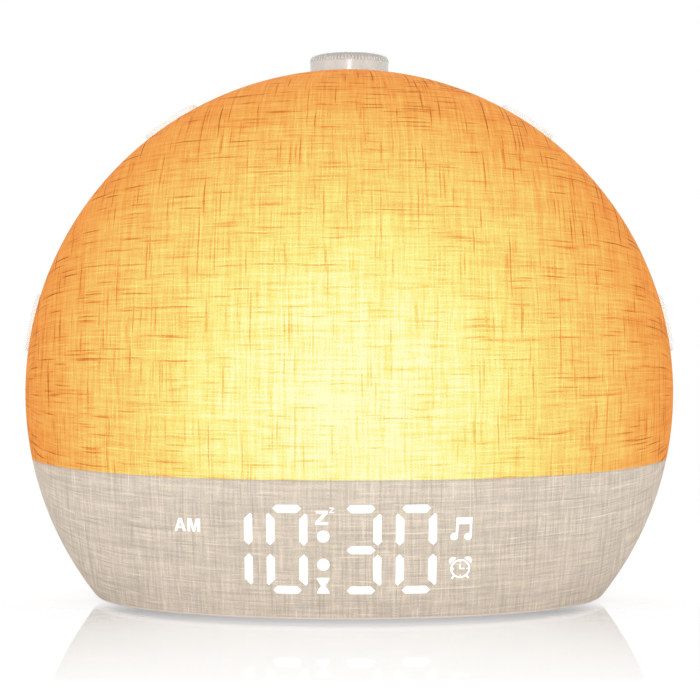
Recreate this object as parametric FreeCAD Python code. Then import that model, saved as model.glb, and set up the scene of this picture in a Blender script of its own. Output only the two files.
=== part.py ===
import FreeCAD, Part
import math
import os

# A round sunrise alarm clock, in millimetres. It stands on the plane Z = 0 and its cloth
# front faces -Y. The body is turned about a level axis that runs from front to back, and
# is cut flat below. The seam is the plane where the cloth front meets the rear housing.

# Whole body
body_radius = 90.0
front_depth = 56.0
rear_depth = 47.0
axis_height = 57.5
foot_lift = 1.2
light_line = 38.7
band_depth = 16.0
back_flat_radius = 45.0

# Walls and running clearances
cloth_thickness = 0.7
cloth_gap = 0.1
diffuser_wall = 2.0
bezel_wall = 2.0
housing_wall = 2.4
housing_inset = 0.3
fit_gap = 0.15
press_gap = 0.02
board_thickness = 1.6

# Lamp behind the dome
reflector_setback = 1.5
reflector_thickness = 2.0
reflector_flat_radius = 63.0
reflector_rim_lift = 7.0
shelf_thickness = 2.0
lamp_board_width = 96.0
lamp_board_height = 50.0
lamp_board_margin = 6.0
lamp_columns = 8
lamp_rows = 4
led_width = 5.0
led_height = 1.6
lamp_screw_inset = 3.5
led_border = 8.0
lead_hole_radius = 3.0
lead_hole_x = 30.0

# Time display behind the plain band
digit_height = 24.0
digit_width = 10.7
digit_pitch = 14.2
digit_bottom = 8.3
stroke_width = 2.2
stroke_gap = 0.3
colon_space = 4.7
colon_radius = 1.6
colon_spread = 7.6
display_centre_x = -6.5
sign_size = 6.2
sign_gap = 3.1
alarm_sign_drop = 5.6
note_sign_rise = 4.3
timer_sign_sink = 1.0
window_margin = 2.0
flange_width = 2.0
flange_thickness = 1.2
display_setback = 1.0
pipe_gap = 0.05
pipe_standoff = 1.4
small_led_width = 1.6
small_led_height = 0.7

# Pillars and screws that hold the body together
pillar_radius = 4.5
pillar_meeting = 4.0
upper_pillar_angle = 45.0
upper_pillar_inset = 33.4
lower_pillar_angle = 121.3
lower_pillar_inset = 25.6
pillar_floor = 3.0
screw_radius = 1.5
screw_length = 9.0
screw_tip_gap = 0.5
screw_head_radius = 2.9
screw_head_height = 2.0
screw_well_gap = 0.4
screw_hole_gap = 0.1
small_screw_radius = 1.0
small_screw_length = 5.0
small_screw_head_radius = 1.9
small_screw_head_height = 1.3
small_boss_radius = 2.0

# Base plate and feet; places are (distance in from the base's side edge, y behind the seam)
base_thickness = 2.6
base_post_front = (15.2, -14.0)
base_post_rear = (10.2, 15.0)
base_post_radius = 3.6
base_post_height = 9.0
base_post_roof = 1.0
base_rib_thickness = 2.0
foot_radius = 6.0
foot_recess = 0.6
foot_front = (28.2, -20.0)
foot_rear = (30.2, 29.0)

# Dial on top, with its push encoder
dial_setback = 14.0
dial_radius = 11.1
dial_proud = 5.5
dial_wall = 1.6
dial_shoulder = 2.3
dial_gap = 0.7
dial_travel = 0.5
well_depth = 4.3
well_gap = 0.8
hub_radius = 4.6
shaft_radius = 3.0
shaft_running_gap = 0.06
shaft_cover = 1.6
flat_offset = 2.2
bush_radius = 3.5
bush_height = 2.9
nut_radius = 5.6
nut_height = 2.0
washer_radius = 6.0
washer_height = 0.5
encoder_width = 12.0
encoder_height = 6.5
encoder_floor = 0.6
push_pin_radius = 2.5
push_pin_height = 1.3
encoder_board_width = 27.0
encoder_board_depth = 16.0
encoder_boss_x = 10.2
encoder_boss_radius = 2.4

# Four keys on the rim
key_angles = (-77.5, -33.3, 33.3, 77.5)
key_names = ("lower_left", "upper_left", "upper_right", "lower_right")
key_length = 16.6
key_width = 8.5
key_corner = 2.6
key_proud = 1.9
key_setback = 7.8
key_gap = 0.25
key_edge = 0.5
key_travel = 0.5
key_flange_width = 1.2
key_flange_thickness = 1.2
key_flange_gap = 0.15
key_stem_radius = 1.7
key_stem_length = 2.0
plunger_radius = 1.75
plunger_height = 1.3
plunger_depth = 1.2
plunger_gap = 0.06
switch_width = 6.0
switch_height = 3.4
key_board_length = 32.0
key_board_width = 10.0
key_board_corner = 1.0
key_post_spread = 13.0
key_post_radius = 2.2

# Main board, its parts and the power inlet
main_board_lift = 5.2
main_board_half_width = 42.0
main_board_front = -8.0
main_board_rear = 40.0
main_post_x = 37.0
main_post_front = -3.5
main_post_rear = 35.5
main_post_radius = 3.0
inlet_width = 9.0
inlet_body_height = 11.0
inlet_length = 14.4
inlet_axis_lift = 6.5
inlet_bore_radius = 3.15
inlet_bore_depth = 10.0
inlet_pin_radius = 1.0
inlet_pin_setback = 1.0
inlet_hole_radius = 4.2
cell_radius = 10.0
cell_height = 3.2
cell_place = (-24.0, 15.0)
holder_wall = 1.5
holder_floor = 1.0
plug_height = 5.5
plug_depth = 5.0
plug_width = 7.0
display_plug_width = 14.0
display_plug_setback = 1.0

# Places on the main board as (x, y behind the seam), with the sizes of what stands there
lamp_plug = (28.0, -4.0)
dial_plug = (31.0, 14.0)
speaker_plug = (17.0, 22.5)
key_plug = (38.0, 26.0)
chip_places = ((8.0, 6.0), (22.0, 6.0), (-6.0, 4.0), (10.0, 20.0), (-8.0, 24.0))
chip_sizes = ((10.0, 10.0, 1.4), (5.0, 6.0, 1.5), (4.0, 5.0, 1.2), (7.0, 7.0, 3.5), (5.0, 8.0, 1.6))
capacitor_places = ((24.0, 33.0), (16.0, 33.0), (-14.0, 32.5))
capacitor_sizes = ((4.0, 9.0), (3.2, 7.5), (3.2, 7.5))

# Speaker in the back
speaker_rise = 15.5
speaker_flange_radius = 28.0
speaker_radius = 23.5
speaker_cone_radius = 20.0
speaker_coil_radius = 8.0
speaker_coil_gap = 1.0
speaker_depth = 21.0
speaker_flange_thickness = 1.5
speaker_screw_circle = 25.7
gasket_thickness = 1.0
gasket_width = 2.4
magnet_radius = 15.0
magnet_height = 8.0
cone_thickness = 0.5
grille_radius = 18.5
grille_hole_radius = 1.1
grille_pitch = 4.0

# Leads
lead_radius = 0.7
lead_pitch = 1.8

# Heights and planes that follow from the sizes above
seam = (front_depth - rear_depth) / 2
under_cloth = cloth_thickness + cloth_gap
housing_radius = body_radius - housing_inset
far = 4 * body_radius
past = 1.0
top = axis_height + body_radius + far
base_top = foot_lift + base_thickness
base_half = math.sqrt(body_radius ** 2 - (axis_height - base_top) ** 2)
board_bottom = base_top + main_board_lift
board_top = board_bottom + board_thickness
back_outside = seam + rear_depth
back_inside = back_outside - housing_wall
pillar_joint = seam + pillar_meeting
pilot_end = pillar_joint + pillar_floor - screw_length - screw_tip_gap
base_pilot_end = base_top + base_post_height - base_post_roof
digit_top = digit_bottom + digit_height
display_middle = digit_bottom + digit_height / 2
time_width = 3 * digit_pitch + colon_space + digit_width
time_left = display_centre_x - time_width / 2
time_right = time_left + time_width
sign_x = time_right + sign_gap + sign_size / 2
half_day_x = time_left - sign_gap - sign_size / 2
colon_x = time_left + digit_pitch + (digit_pitch + colon_space + digit_width) / 2
dial_y = seam + dial_setback
dial_top = axis_height + body_radius + dial_proud
well_floor = axis_height + body_radius - well_depth
shaft_top = dial_top - shaft_cover
speaker_height = axis_height + speaker_rise
encoder_top = well_floor - housing_wall
encoder_bottom = encoder_top - encoder_height
push_pin_bottom = encoder_bottom + encoder_floor + dial_travel + fit_gap
bush_top = encoder_top + housing_wall + bush_height
key_y = seam + key_setback
key_flange_half = key_length / 2 + key_flange_width
key_flange_top = math.sqrt((housing_radius - housing_wall) ** 2 - key_flange_half ** 2) - key_flange_gap
key_stem_end = key_flange_top - key_flange_thickness - key_stem_length
switch_top = key_stem_end - plunger_height
key_board_top = switch_top - switch_height


def vec(x, y, z):
    """Point or direction."""
    return FreeCAD.Vector(x, y, z)


def box(x_low, x_high, y_low, y_high, z_low, z_high):
    """Level block between its limits."""
    return Part.makeBox(x_high - x_low, y_high - y_low, z_high - z_low, vec(x_low, y_low, z_low))


def rod(radius, start, end):
    """Round bar between two points."""
    start = vec(*start)
    line = vec(*end) - start
    return Part.makeCylinder(radius, line.Length, start, line)


def cone(radius_start, radius_end, start, end):
    """Round bar between two points whose radius changes evenly."""
    start = vec(*start)
    line = vec(*end) - start
    return Part.makeCone(radius_start, radius_end, line.Length, start, line)


def fuse(shapes):
    """One solid from several that meet or overlap."""
    return shapes[0].multiFuse(shapes[1:])


def group(shapes):
    """Several separate solids in one node."""
    return Part.makeCompound(shapes)


def slab(shape, z_low, z_high):
    """The stretch of a shape between two heights."""
    return shape.common(box(-far, far, -far, far, z_low, z_high))


def quarter_arc(centre_r, centre_y, radial, depth):
    """Quarter ellipse in the plane of the body's axis, from the side round to the end."""
    centre = vec(centre_r, centre_y, axis_height)
    side = vec(centre_r + radial, centre_y, axis_height)
    end = vec(centre_r, centre_y + depth, axis_height)
    first, second = (side, end) if radial >= abs(depth) else (end, side)
    ellipse = Part.Ellipse(first, second, centre)
    return Part.ArcOfEllipse(ellipse, 0, math.pi / 2).toShape()


def line(start, end):
    """Straight edge in the plane of the body's axis, from (radius, y) to (radius, y)."""
    return Part.makeLine(vec(start[0], start[1], axis_height), vec(end[0], end[1], axis_height))


def turn_body(edges):
    """Solid of revolution about the body's level axis, made in two halves so that its poles stay sound."""
    centre = vec(0, 0, axis_height)
    level = vec(0, 1, 0)
    face = Part.Face(Part.Wire(Part.__sortEdges__(edges)))
    halves = [face.rotated(centre, level, start).revolve(centre, level, 180) for start in (0, 180)]
    return halves[0].fuse(halves[1])


def front_core(inset):
    """Everything in front of the seam, this far inside the cloth's outer surface."""
    radius = body_radius - inset
    depth = front_depth - inset
    return turn_body([
        quarter_arc(0, seam, radius, -depth),
        line((0, seam - depth), (0, seam)),
        line((0, seam), (radius, seam)),
    ])


def rear_core(inset):
    """Everything behind the seam, this far inside the housing's outer surface."""
    radius = housing_radius - inset
    shoulder = seam + band_depth
    back = seam + rear_depth - inset
    return turn_body([
        line((0, seam), (radius, seam)),
        line((radius, seam), (radius, shoulder)),
        quarter_arc(back_flat_radius, shoulder, radius - back_flat_radius, back - shoulder),
        line((back_flat_radius, back), (0, back)),
        line((0, back), (0, seam)),
    ])


def front_y(radius, inset):
    """Y of the front surface at this distance from the body's axis."""
    share = min(1.0, radius / (body_radius - inset))
    return seam - (front_depth - inset) * math.sqrt(1 - share ** 2)


def front_radius(y, inset):
    """Distance of the front surface from the body's axis at this Y."""
    share = (seam - y) / (front_depth - inset)
    return (body_radius - inset) * math.sqrt(1 - share ** 2)


def pan_screw(seat, direction, radius, length, head_radius, head_height):
    """Screw whose head sits behind the seat and whose shank runs along the direction."""
    seat = vec(*seat)
    ahead = vec(*direction).normalize()
    shank = Part.makeCylinder(radius, length, seat, ahead)
    head = Part.makeCylinder(head_radius, head_height, seat - ahead * head_height, ahead)
    rim = [edge for edge in head.Edges
           if edge.Closed and edge.CenterOfMass.distanceToPoint(seat) > head_height / 2]
    head = head.makeFillet(head_height / 3, rim)
    arm = head_radius / 2
    thin = head_height / 6
    slot = box(-arm, arm, -thin, thin, 0, head_height / 2)
    cross = slot.fuse(slot.rotated(vec(0, 0, 0), vec(0, 0, 1), 90))
    cross.Placement = FreeCAD.Placement(seat - ahead * head_height, FreeCAD.Rotation(vec(0, 0, 1), ahead))
    return head.fuse(shank).removeSplitter().cut(cross)


def small_screw(seat, direction):
    """Screw for the boards."""
    return pan_screw(seat, direction, small_screw_radius, small_screw_length,
                     small_screw_head_radius, small_screw_head_height)


def small_hole(seat, direction, depth):
    """Pilot hole for a small screw, from its seat."""
    ahead = vec(*direction).normalize()
    return Part.makeCylinder(small_screw_radius + screw_hole_gap, depth, vec(*seat), ahead)


def rounded_plate(length, width, corner, z_low, z_high):
    """Upright prism with round corners, centred on the Z axis."""
    plate = box(-length / 2, length / 2, -width / 2, width / 2, z_low, z_high)
    upright = [edge for edge in plate.Edges if abs(edge.tangentAt(edge.FirstParameter).z) > 0.9]
    return plate.makeFillet(corner, upright)


def at_key(shape, angle):
    """Carry a shape made upright over the body's axis round to a key's place on the rim."""
    placed = shape.translated(vec(0, key_y, axis_height))
    return placed.rotated(vec(0, 0, axis_height), vec(0, 1, 0), angle)


def lead(name, points, radius):
    """Round lead along straight runs joined by tangent arcs."""
    points = [vec(*point) for point in points]
    edges = []
    radii = []
    here = points[0]
    for before, corner, after in zip(points, points[1:], points[2:]):
        arriving = (corner - before).normalize()
        leaving = (after - corner).normalize()
        turn = arriving.getAngle(leaving)
        reach = 0.45 * min((corner - before).Length, (after - corner).Length)
        bend = reach / math.tan(turn / 2)
        start = corner - arriving * reach
        finish = corner + leaving * reach
        inward = (leaving - arriving).normalize()
        middle = corner + inward * (bend / math.cos(turn / 2) - bend)
        edges.append(Part.LineSegment(here, start).toShape())
        edges.append(Part.Arc(start, middle, finish).toShape())
        radii.append(bend)
        here = finish
    edges.append(Part.LineSegment(here, points[-1]).toShape())
    path = Part.Wire(edges)
    circle = Part.makeCircle(radius, points[0], points[1] - points[0])
    tube = path.makePipeShell([Part.Wire([circle])], True, False)
    share = tube.Volume / (math.pi * radius ** 2 * path.Length)
    print(name, "radii", [round(bend, 1) for bend in radii], "volume share", round(share, 4))
    return tube


def fabric_cover():
    """Cloth stretched over the whole front."""
    skin = front_core(0).cut(front_core(cloth_thickness))
    return slab(skin, foot_lift, top)


def dome_diffuser():
    """Milky shell under the cloth, above the light line."""
    shell = front_core(under_cloth).cut(front_core(under_cloth + diffuser_wall))
    return slab(shell, light_line, top)


def window(margin):
    """Space of the display block: the time with its right-hand signs, and the tab on the left."""
    front = seam - front_depth
    back = display_plane()
    edge = window_margin + margin
    high = digit_top + edge
    right = sign_x + sign_size / 2 + edge
    left = half_day_x - sign_size / 2 - edge
    main = box(time_left - edge, right, front, back, digit_bottom - edge, high)
    tab = box(left, time_left, front, back, half_day_bottom() - edge, high)
    return main.fuse(tab).removeSplitter()


def half_day_bottom():
    """Lower edge of the half day sign."""
    return digit_top - stroke_width - sign_size


def display_plane():
    """Y of the flat back of the display block, clear of the curved wall at every corner."""
    inset = under_cloth + bezel_wall
    edge = window_margin + flange_width
    low_corner = math.hypot(time_left - edge, axis_height - digit_bottom + edge)
    right_corner = math.hypot(sign_x + sign_size / 2 + edge, axis_height - digit_bottom + edge)
    tab_corner = math.hypot(half_day_x - sign_size / 2 - edge, axis_height - half_day_bottom() + edge)
    return front_y(max(low_corner, right_corner, tab_corner), inset) + flange_thickness + display_setback


def rear_y(radius, inset):
    """Y of the rear surface at this distance from the body's axis."""
    shoulder = seam + band_depth
    depth = seam + rear_depth - inset - shoulder
    share = max(0.0, radius - back_flat_radius) / (housing_radius - inset - back_flat_radius)
    return shoulder + depth * math.sqrt(1 - share ** 2)


def rim_place(angle, inset):
    """Place (x, z) by its angle from the top and its distance in from the rim."""
    turn = math.radians(angle)
    reach = body_radius - inset
    return (reach * math.sin(turn), axis_height + reach * math.cos(turn))


def upper_pillar():
    """Place (x, z) of the right upper pillar."""
    return rim_place(upper_pillar_angle, upper_pillar_inset)


def lower_pillar():
    """Place (x, z) of the right lower pillar."""
    return rim_place(lower_pillar_angle, lower_pillar_inset)


def pillars(places, y_low, y_high):
    """Round pillars on both sides, at (x, z) places."""
    return [rod(pillar_radius, (side * x, y_low, z), (side * x, y_high, z))
            for x, z in places for side in (-1, 1)]


def pillar_pilots(place):
    """Pilot holes for the housing screws in a pair of front pillars."""
    x, z = place
    radius = screw_radius + screw_hole_gap
    return [rod(radius, (side * x, pillar_joint, z), (side * x, pilot_end, z)) for side in (-1, 1)]


def base_posts(place, inside):
    """Upright screw posts near the wall, each with a rib that ties it to the wall."""
    posts = []
    y = seam + place[1]
    for side in (-1, 1):
        x = side * (base_half - place[0])
        wall = side * body_radius
        high = base_top + base_post_height
        posts.append(rod(base_post_radius, (x, y, base_top), (x, y, high)))
        half = base_rib_thickness / 2
        posts.append(box(min(x, wall), max(x, wall), y - half, y + half, base_top, high))
    return [post.common(inside) for post in posts]


def base_post_holes(place):
    """Blind holes in a pair of base posts."""
    x, y = base_half - place[0], seam + place[1]
    radius = screw_radius + screw_hole_gap
    return [rod(radius, (side * x, y, base_top), (side * x, y, base_pilot_end)) for side in (-1, 1)]


def front_bezel():
    """Opaque shell under the cloth below the light line, with the shelf that holds the light back."""
    wall = slab(front_core(under_cloth).cut(front_core(under_cloth + bezel_wall)), foot_lift, light_line)
    inside = front_core(under_cloth + bezel_wall / 2)
    shelf = slab(inside, light_line - shelf_thickness, light_line)
    posts = [pillar.common(inside) for pillar in pillars([lower_pillar()], seam - front_depth, seam)]
    reach = pillars([lower_pillar()], seam - pillar_meeting, pillar_joint)
    base = base_posts(base_post_front, inside)
    shell = fuse([wall, shelf] + posts + reach + base)
    cuts = [window(fit_gap)] + pillar_pilots(lower_pillar()) + base_post_holes(base_post_front)
    return shell.cut(group(cuts))


def stroke(centre_x, centre_z, length, upright, grow):
    """One pointed stroke of a digit, as a prism that runs the whole depth of the front."""
    half = length / 2 + grow
    wide = stroke_width / 2 + grow
    outline = [(-half, 0), (wide - half, wide), (half - wide, wide),
               (half, 0), (half - wide, -wide), (wide - half, -wide)]
    if upright:
        outline = [(across, along) for along, across in outline]
    points = [vec(centre_x + x, seam - front_depth, centre_z + z) for x, z in outline]
    return Part.Face(Part.makePolygon(points + points[:1])).extrude(vec(0, front_depth, 0))


def digit_lefts():
    """Left edge of each of the four digits."""
    return [time_left + place * digit_pitch + (colon_space if place > 1 else 0) for place in range(4)]


def stroke_places():
    """Centre, length and direction of each stroke of the four digits."""
    wide = stroke_width / 2
    level = digit_width - 1.5 * stroke_width
    upright = (digit_height - 3 * stroke_width) / 2 - 2 * stroke_gap
    places = []
    for left in digit_lefts():
        for z in (digit_bottom + wide, display_middle, digit_top - wide):
            places.append((left + digit_width / 2, z, level, False))
        for x in (left + wide, left + digit_width - wide):
            for z in ((digit_bottom + wide + display_middle) / 2, (digit_top - wide + display_middle) / 2):
                places.append((x, z, upright, True))
    return places


def sign_places():
    """Centre of each round-cornered light for a sign: half day, alarm, note, snooze and timer."""
    return [
        (half_day_x, digit_top - stroke_width - sign_size / 2),
        (sign_x, display_middle - alarm_sign_drop),
        (sign_x, display_middle + note_sign_rise),
        (colon_x, digit_top - sign_size / 2),
        (colon_x, digit_bottom + sign_size / 2 - timer_sign_sink),
    ]


def light_prisms(grow):
    """Every light of the display as a prism, larger all round by grow."""
    prisms = [stroke(x, z, length, upright, grow) for x, z, length, upright in stroke_places()]
    for z in (display_middle - colon_spread / 2, display_middle + colon_spread / 2):
        prisms.append(rod(colon_radius + grow, (colon_x, seam - front_depth, z), (colon_x, seam, z)))
    half = sign_size / 2 - stroke_gap + grow
    for x, z in sign_places():
        prisms.append(box(x - half, x + half, seam - front_depth, seam, z - half, z + half))
    return prisms


def light_spots():
    """Centre (x, z) of each light of the display."""
    spots = [(x, z) for x, z, length, upright in stroke_places()]
    spots += [(colon_x, display_middle - colon_spread / 2), (colon_x, display_middle + colon_spread / 2)]
    return spots + sign_places()


def display_mask():
    """Opaque block that fills the window, with one channel for each light."""
    block = window(0).common(front_core(under_cloth))
    plane = display_plane()
    flange = window(flange_width).common(box(-far, far, plane - flange_thickness, plane, -far, far))
    pilots = [small_hole((x, plane, z), (0, -1, 0), small_screw_length) for x, z in display_screw_places()]
    body = block.fuse(flange).removeSplitter()
    return body.cut(group(light_prisms(pipe_gap) + pilots))


def display_screw_places():
    """Screws of the display board, in the solid strips between the digits."""
    low = digit_bottom - window_margin / 2
    high = digit_top - small_screw_radius
    strip = (digit_pitch - digit_width) / 2
    return [(digit_lefts()[place] - strip, z) for place in (1, 3) for z in (low, high)]


def display_pipes():
    """Milky light pipes in the channels of the display block."""
    front = front_core(under_cloth)
    reach = box(-far, far, -far, display_plane() - pipe_standoff, -far, far)
    space = front.common(reach)
    return group([prism.common(space) for prism in light_prisms(0)])


def display_leds():
    """Small lights on the display board, one in each channel."""
    plane = display_plane()
    half = small_led_width / 2
    return group([box(x - half, x + half, plane - small_led_height, plane, z - half, z + half)
                  for x, z in light_spots()])


def display_board():
    """Board behind the display block."""
    plane = display_plane()
    edge = sign_size / 2 + window_margin
    board = box(half_day_x - edge, sign_x + edge, plane, plane + board_thickness,
                digit_bottom - window_margin, digit_top + window_margin)
    holes = [small_hole((x, plane + board_thickness, z), (0, -1, 0), board_thickness)
             for x, z in display_screw_places()]
    return board.cut(group(holes))


def display_screws():
    """Screws that hold the display board to its block."""
    back = display_plane() + board_thickness
    return group([small_screw((x, back, z), (0, -1, 0)) for x, z in display_screw_places()])


def reflector():
    """White dish that closes the lamp chamber behind and carries the lamp board."""
    back = seam - reflector_setback
    front = back - reflector_thickness
    rim_front = front - reflector_rim_lift
    rim_back = rim_front + reflector_thickness
    rim = front_radius(rim_front, under_cloth + diffuser_wall + fit_gap)
    at_rim, at_back = (0, rim_back, axis_height), (0, back, axis_height)
    block = rod(rim, (0, rim_front, axis_height), at_back)
    bowl = cone(reflector_flat_radius, rim, (0, front, axis_height), (0, rim_front, axis_height))
    behind = rod(rim, at_rim, at_back).cut(cone(reflector_flat_radius, rim, at_back, at_rim))
    dish = slab(block.cut(bowl).cut(behind), light_line, top)
    posts = pillars([upper_pillar()], front, pillar_joint)
    middle = back - reflector_thickness / 2
    lamp_posts = [rod(small_boss_radius, (x, middle, z), (x, back + small_screw_length, z))
                  for x, z in lamp_screw_places()]
    plate = fuse([dish] + posts + lamp_posts)
    cuts = pillar_pilots(upper_pillar())
    cuts += [small_hole((x, front, z), (0, 1, 0), small_screw_length) for x, z in lamp_screw_places()]
    z = lead_hole_height()
    cuts.append(rod(lead_hole_radius, (lead_hole_x, front - past, z), (lead_hole_x, back + past, z)))
    return plate.cut(group(cuts))


def lamp_board_bottom():
    """Lower edge of the lamp board."""
    return light_line + lamp_board_margin


def lead_hole_height():
    """Height of the hole that the lamp's leads pass through."""
    return lamp_board_bottom() + 2 * lead_hole_radius


def lamp_front():
    """Y of the lamp board's front face."""
    return seam - reflector_setback - reflector_thickness - board_thickness


def lamp_screw_places():
    """Centre (x, z) of each screw of the lamp board."""
    low = lamp_board_bottom() + lamp_screw_inset
    high = low + lamp_board_height - 2 * lamp_screw_inset
    x = lamp_board_width / 2 - lamp_screw_inset
    return [(-x, low), (x, low), (-x, high), (x, high)]


def lamp_board():
    """Aluminium board that carries the lamp's lights."""
    bottom = lamp_board_bottom()
    board = box(-lamp_board_width / 2, lamp_board_width / 2, lamp_front(), lamp_front() + board_thickness,
                bottom, bottom + lamp_board_height)
    holes = [small_hole((x, lamp_front(), z), (0, 1, 0), board_thickness) for x, z in lamp_screw_places()]
    return board.cut(group(holes))


def lamp_leds():
    """Rows of lights on the lamp board."""
    half = led_width / 2
    back = lamp_front()
    step_x = (lamp_board_width - 2 * led_border) / (lamp_columns - 1)
    step_z = (lamp_board_height - 2 * led_border) / (lamp_rows - 1)
    chips = []
    for column in range(lamp_columns):
        x = led_border - lamp_board_width / 2 + column * step_x
        for row in range(lamp_rows):
            z = lamp_board_bottom() + led_border + row * step_z
            chips.append(box(x - half, x + half, back - led_height, back, z - half, z + half))
    return group(chips)


def lamp_screws():
    """Screws that hold the lamp board to the reflector."""
    return group([small_screw((x, lamp_front(), z), (0, 1, 0)) for x, z in lamp_screw_places()])


def grille_holes():
    """Sound holes in rows across the flat back."""
    holes = []
    rows = int(grille_radius / (grille_pitch * math.sqrt(3) / 2))
    for row in range(-rows, rows + 1):
        z = row * grille_pitch * math.sqrt(3) / 2
        shift = grille_pitch / 2 if row % 2 else 0
        count = int(grille_radius / grille_pitch) + 1
        for place in range(-count, count + 1):
            x = place * grille_pitch + shift
            if math.hypot(x, z) <= grille_radius:
                start = (x, back_inside - past, speaker_height + z)
                end = (x, back_outside + past, speaker_height + z)
                holes.append(rod(grille_hole_radius, start, end))
    return holes


def key_opening(grow, low, high):
    """Upright block with the outline of a key, larger all round by grow."""
    return rounded_plate(key_length + 2 * grow, key_width + 2 * grow, key_corner + grow, low, high)


def key_posts():
    """Posts on the inside of the rim that carry one key board."""
    posts = []
    for side in (-1, 1):
        x = side * key_post_spread
        post = rod(key_post_radius, (x, 0, key_board_top), (x, 0, housing_radius))
        posts.append(post.cut(small_hole((x, 0, key_board_top), (0, 0, 1), small_screw_length)))
    return posts


def speaker_screw_places():
    """Centre (x, z) of each screw of the speaker."""
    step = speaker_screw_circle / math.sqrt(2)
    return [(x * step, speaker_height + z * step) for x in (-1, 1) for z in (-1, 1)]


def rear_housing():
    """Back shell with the dial's well, key openings, sound holes and screw pillars."""
    whole = rear_core(0)
    shell = slab(whole.cut(rear_core(housing_wall)), foot_lift, top)
    limit = rear_core(housing_wall / 2)
    places = [upper_pillar(), lower_pillar()]
    posts = [post.common(limit) for post in pillars(places, pillar_joint, back_outside)]
    posts += [at_key(post, angle).common(limit) for angle in key_angles for post in key_posts()]
    posts += base_posts(base_post_rear, limit)
    shell = fuse([shell, dial_well().common(whole)] + encoder_bosses() + posts + speaker_bosses())
    cuts = dial_well_cuts() + speaker_pilots() + grille_holes() + housing_screw_wells()
    cuts += [at_key(key_opening(key_gap, key_flange_top, far), angle) for angle in key_angles]
    cuts += base_post_holes(base_post_rear)
    z = inlet_height()
    cuts.append(rod(inlet_hole_radius, (0, back_inside - past, z), (0, back_outside + past, z)))
    return shell.cut(group(cuts))


def dial_well():
    """Solid that the dial's well is sunk into."""
    return rod(dial_radius + well_gap + housing_wall, (0, dial_y, encoder_top), (0, dial_y, top))


def dial_well_cuts():
    """The well, the hole for the encoder's bush and the pilot holes beside it."""
    cuts = [
        rod(dial_radius + well_gap, (0, dial_y, well_floor), (0, dial_y, top)),
        rod(bush_radius + fit_gap, (0, dial_y, encoder_top - past), (0, dial_y, well_floor + past)),
    ]
    for side in (-1, 1):
        start = (side * encoder_boss_x, dial_y, encoder_bottom)
        cuts.append(small_hole(start, (0, 0, 1), small_screw_length))
    return cuts


def encoder_bosses():
    """Bosses that carry the encoder's board."""
    high = encoder_top + housing_wall / 2
    return [rod(encoder_boss_radius, (side * encoder_boss_x, dial_y, encoder_bottom),
                (side * encoder_boss_x, dial_y, high)) for side in (-1, 1)]


def speaker_bosses():
    """Bosses on the inside of the back that carry the speaker's flange."""
    low = back_inside - gasket_thickness
    high = back_inside + housing_wall / 2
    return [rod(small_boss_radius, (x, low, z), (x, high, z)) for x, z in speaker_screw_places()]


def speaker_pilots():
    """Pilot holes in the speaker's bosses."""
    return [small_hole((x, back_inside - gasket_thickness, z), (0, 1, 0), gasket_thickness + housing_wall / 2)
            for x, z in speaker_screw_places()]


def housing_screw_wells():
    """Deep wells in the back for the housing screws, with a hole through each floor."""
    wells = []
    seat = pillar_joint + pillar_floor
    for x, z in (upper_pillar(), lower_pillar()):
        for side in (-1, 1):
            wells.append(rod(screw_head_radius + screw_well_gap, (side * x, seat, z), (side * x, far, z)))
            start = (side * x, pillar_joint - past, z)
            wells.append(rod(screw_radius + screw_hole_gap, start, (side * x, seat + past, z)))
    return wells


def housing_screws():
    """Screws in the wells of the back, which hold the housing to the front."""
    seat = pillar_joint + pillar_floor
    return group([pan_screw((side * x, seat, z), (0, -1, 0), screw_radius, screw_length,
                            screw_head_radius, screw_head_height)
                  for x, z in (upper_pillar(), lower_pillar()) for side in (-1, 1)])


def both_sides(places):
    """Places (x, y) on the base, left and right, from their distances in from its side edge."""
    return [(side * (base_half - inset), seam + y) for side in (-1, 1) for inset, y in places]


def base_screw_places():
    """Centre (x, y) of each screw of the base plate."""
    return both_sides((base_post_front, base_post_rear))


def foot_places():
    """Centre (x, y) of each foot."""
    return both_sides((foot_front, foot_rear))


def main_post_places():
    """Centre (x, y) of each post of the main board."""
    return [(side * main_post_x, seam + y) for side in (-1, 1) for y in (main_post_front, main_post_rear)]


def countersunk(x, y, gap):
    """Cone and shank of a base screw, larger all round by gap."""
    neck = (x, y, foot_lift + screw_head_height)
    head = cone(screw_head_radius + gap, screw_radius + gap, (x, y, foot_lift), neck)
    return head.fuse(rod(screw_radius + gap, (x, y, foot_lift), (x, y, base_pilot_end - screw_tip_gap)))


def base_plate():
    """Flat underside that closes the body, with posts for the main board."""
    whole = front_core(under_cloth + bezel_wall + fit_gap).fuse(rear_core(housing_wall + fit_gap))
    plate = slab(whole.removeSplitter(), foot_lift, base_top)
    middle = foot_lift + base_thickness / 2
    posts = [rod(main_post_radius, (x, y, middle), (x, y, board_bottom)) for x, y in main_post_places()]
    plate = fuse([plate] + posts)
    cuts = [countersunk(x, y, screw_hole_gap) for x, y in base_screw_places()]
    cuts += [rod(foot_radius + fit_gap, (x, y, 0), (x, y, foot_lift + foot_recess)) for x, y in foot_places()]
    cuts += [small_hole((x, y, board_bottom), (0, 0, -1), small_screw_length) for x, y in main_post_places()]
    return plate.cut(group(cuts))


def base_screws():
    """Countersunk screws seen from below, each with a cross in its head."""
    screws = []
    half = screw_head_radius / 2
    thin = screw_head_height / 6
    deep = foot_lift + screw_head_height / 2
    for x, y in base_screw_places():
        cross = box(x - half, x + half, y - thin, y + thin, foot_lift, deep)
        cross = cross.fuse(box(x - thin, x + thin, y - half, y + half, foot_lift, deep))
        screws.append(countersunk(x, y, 0).cut(cross))
    return group(screws)


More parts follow.
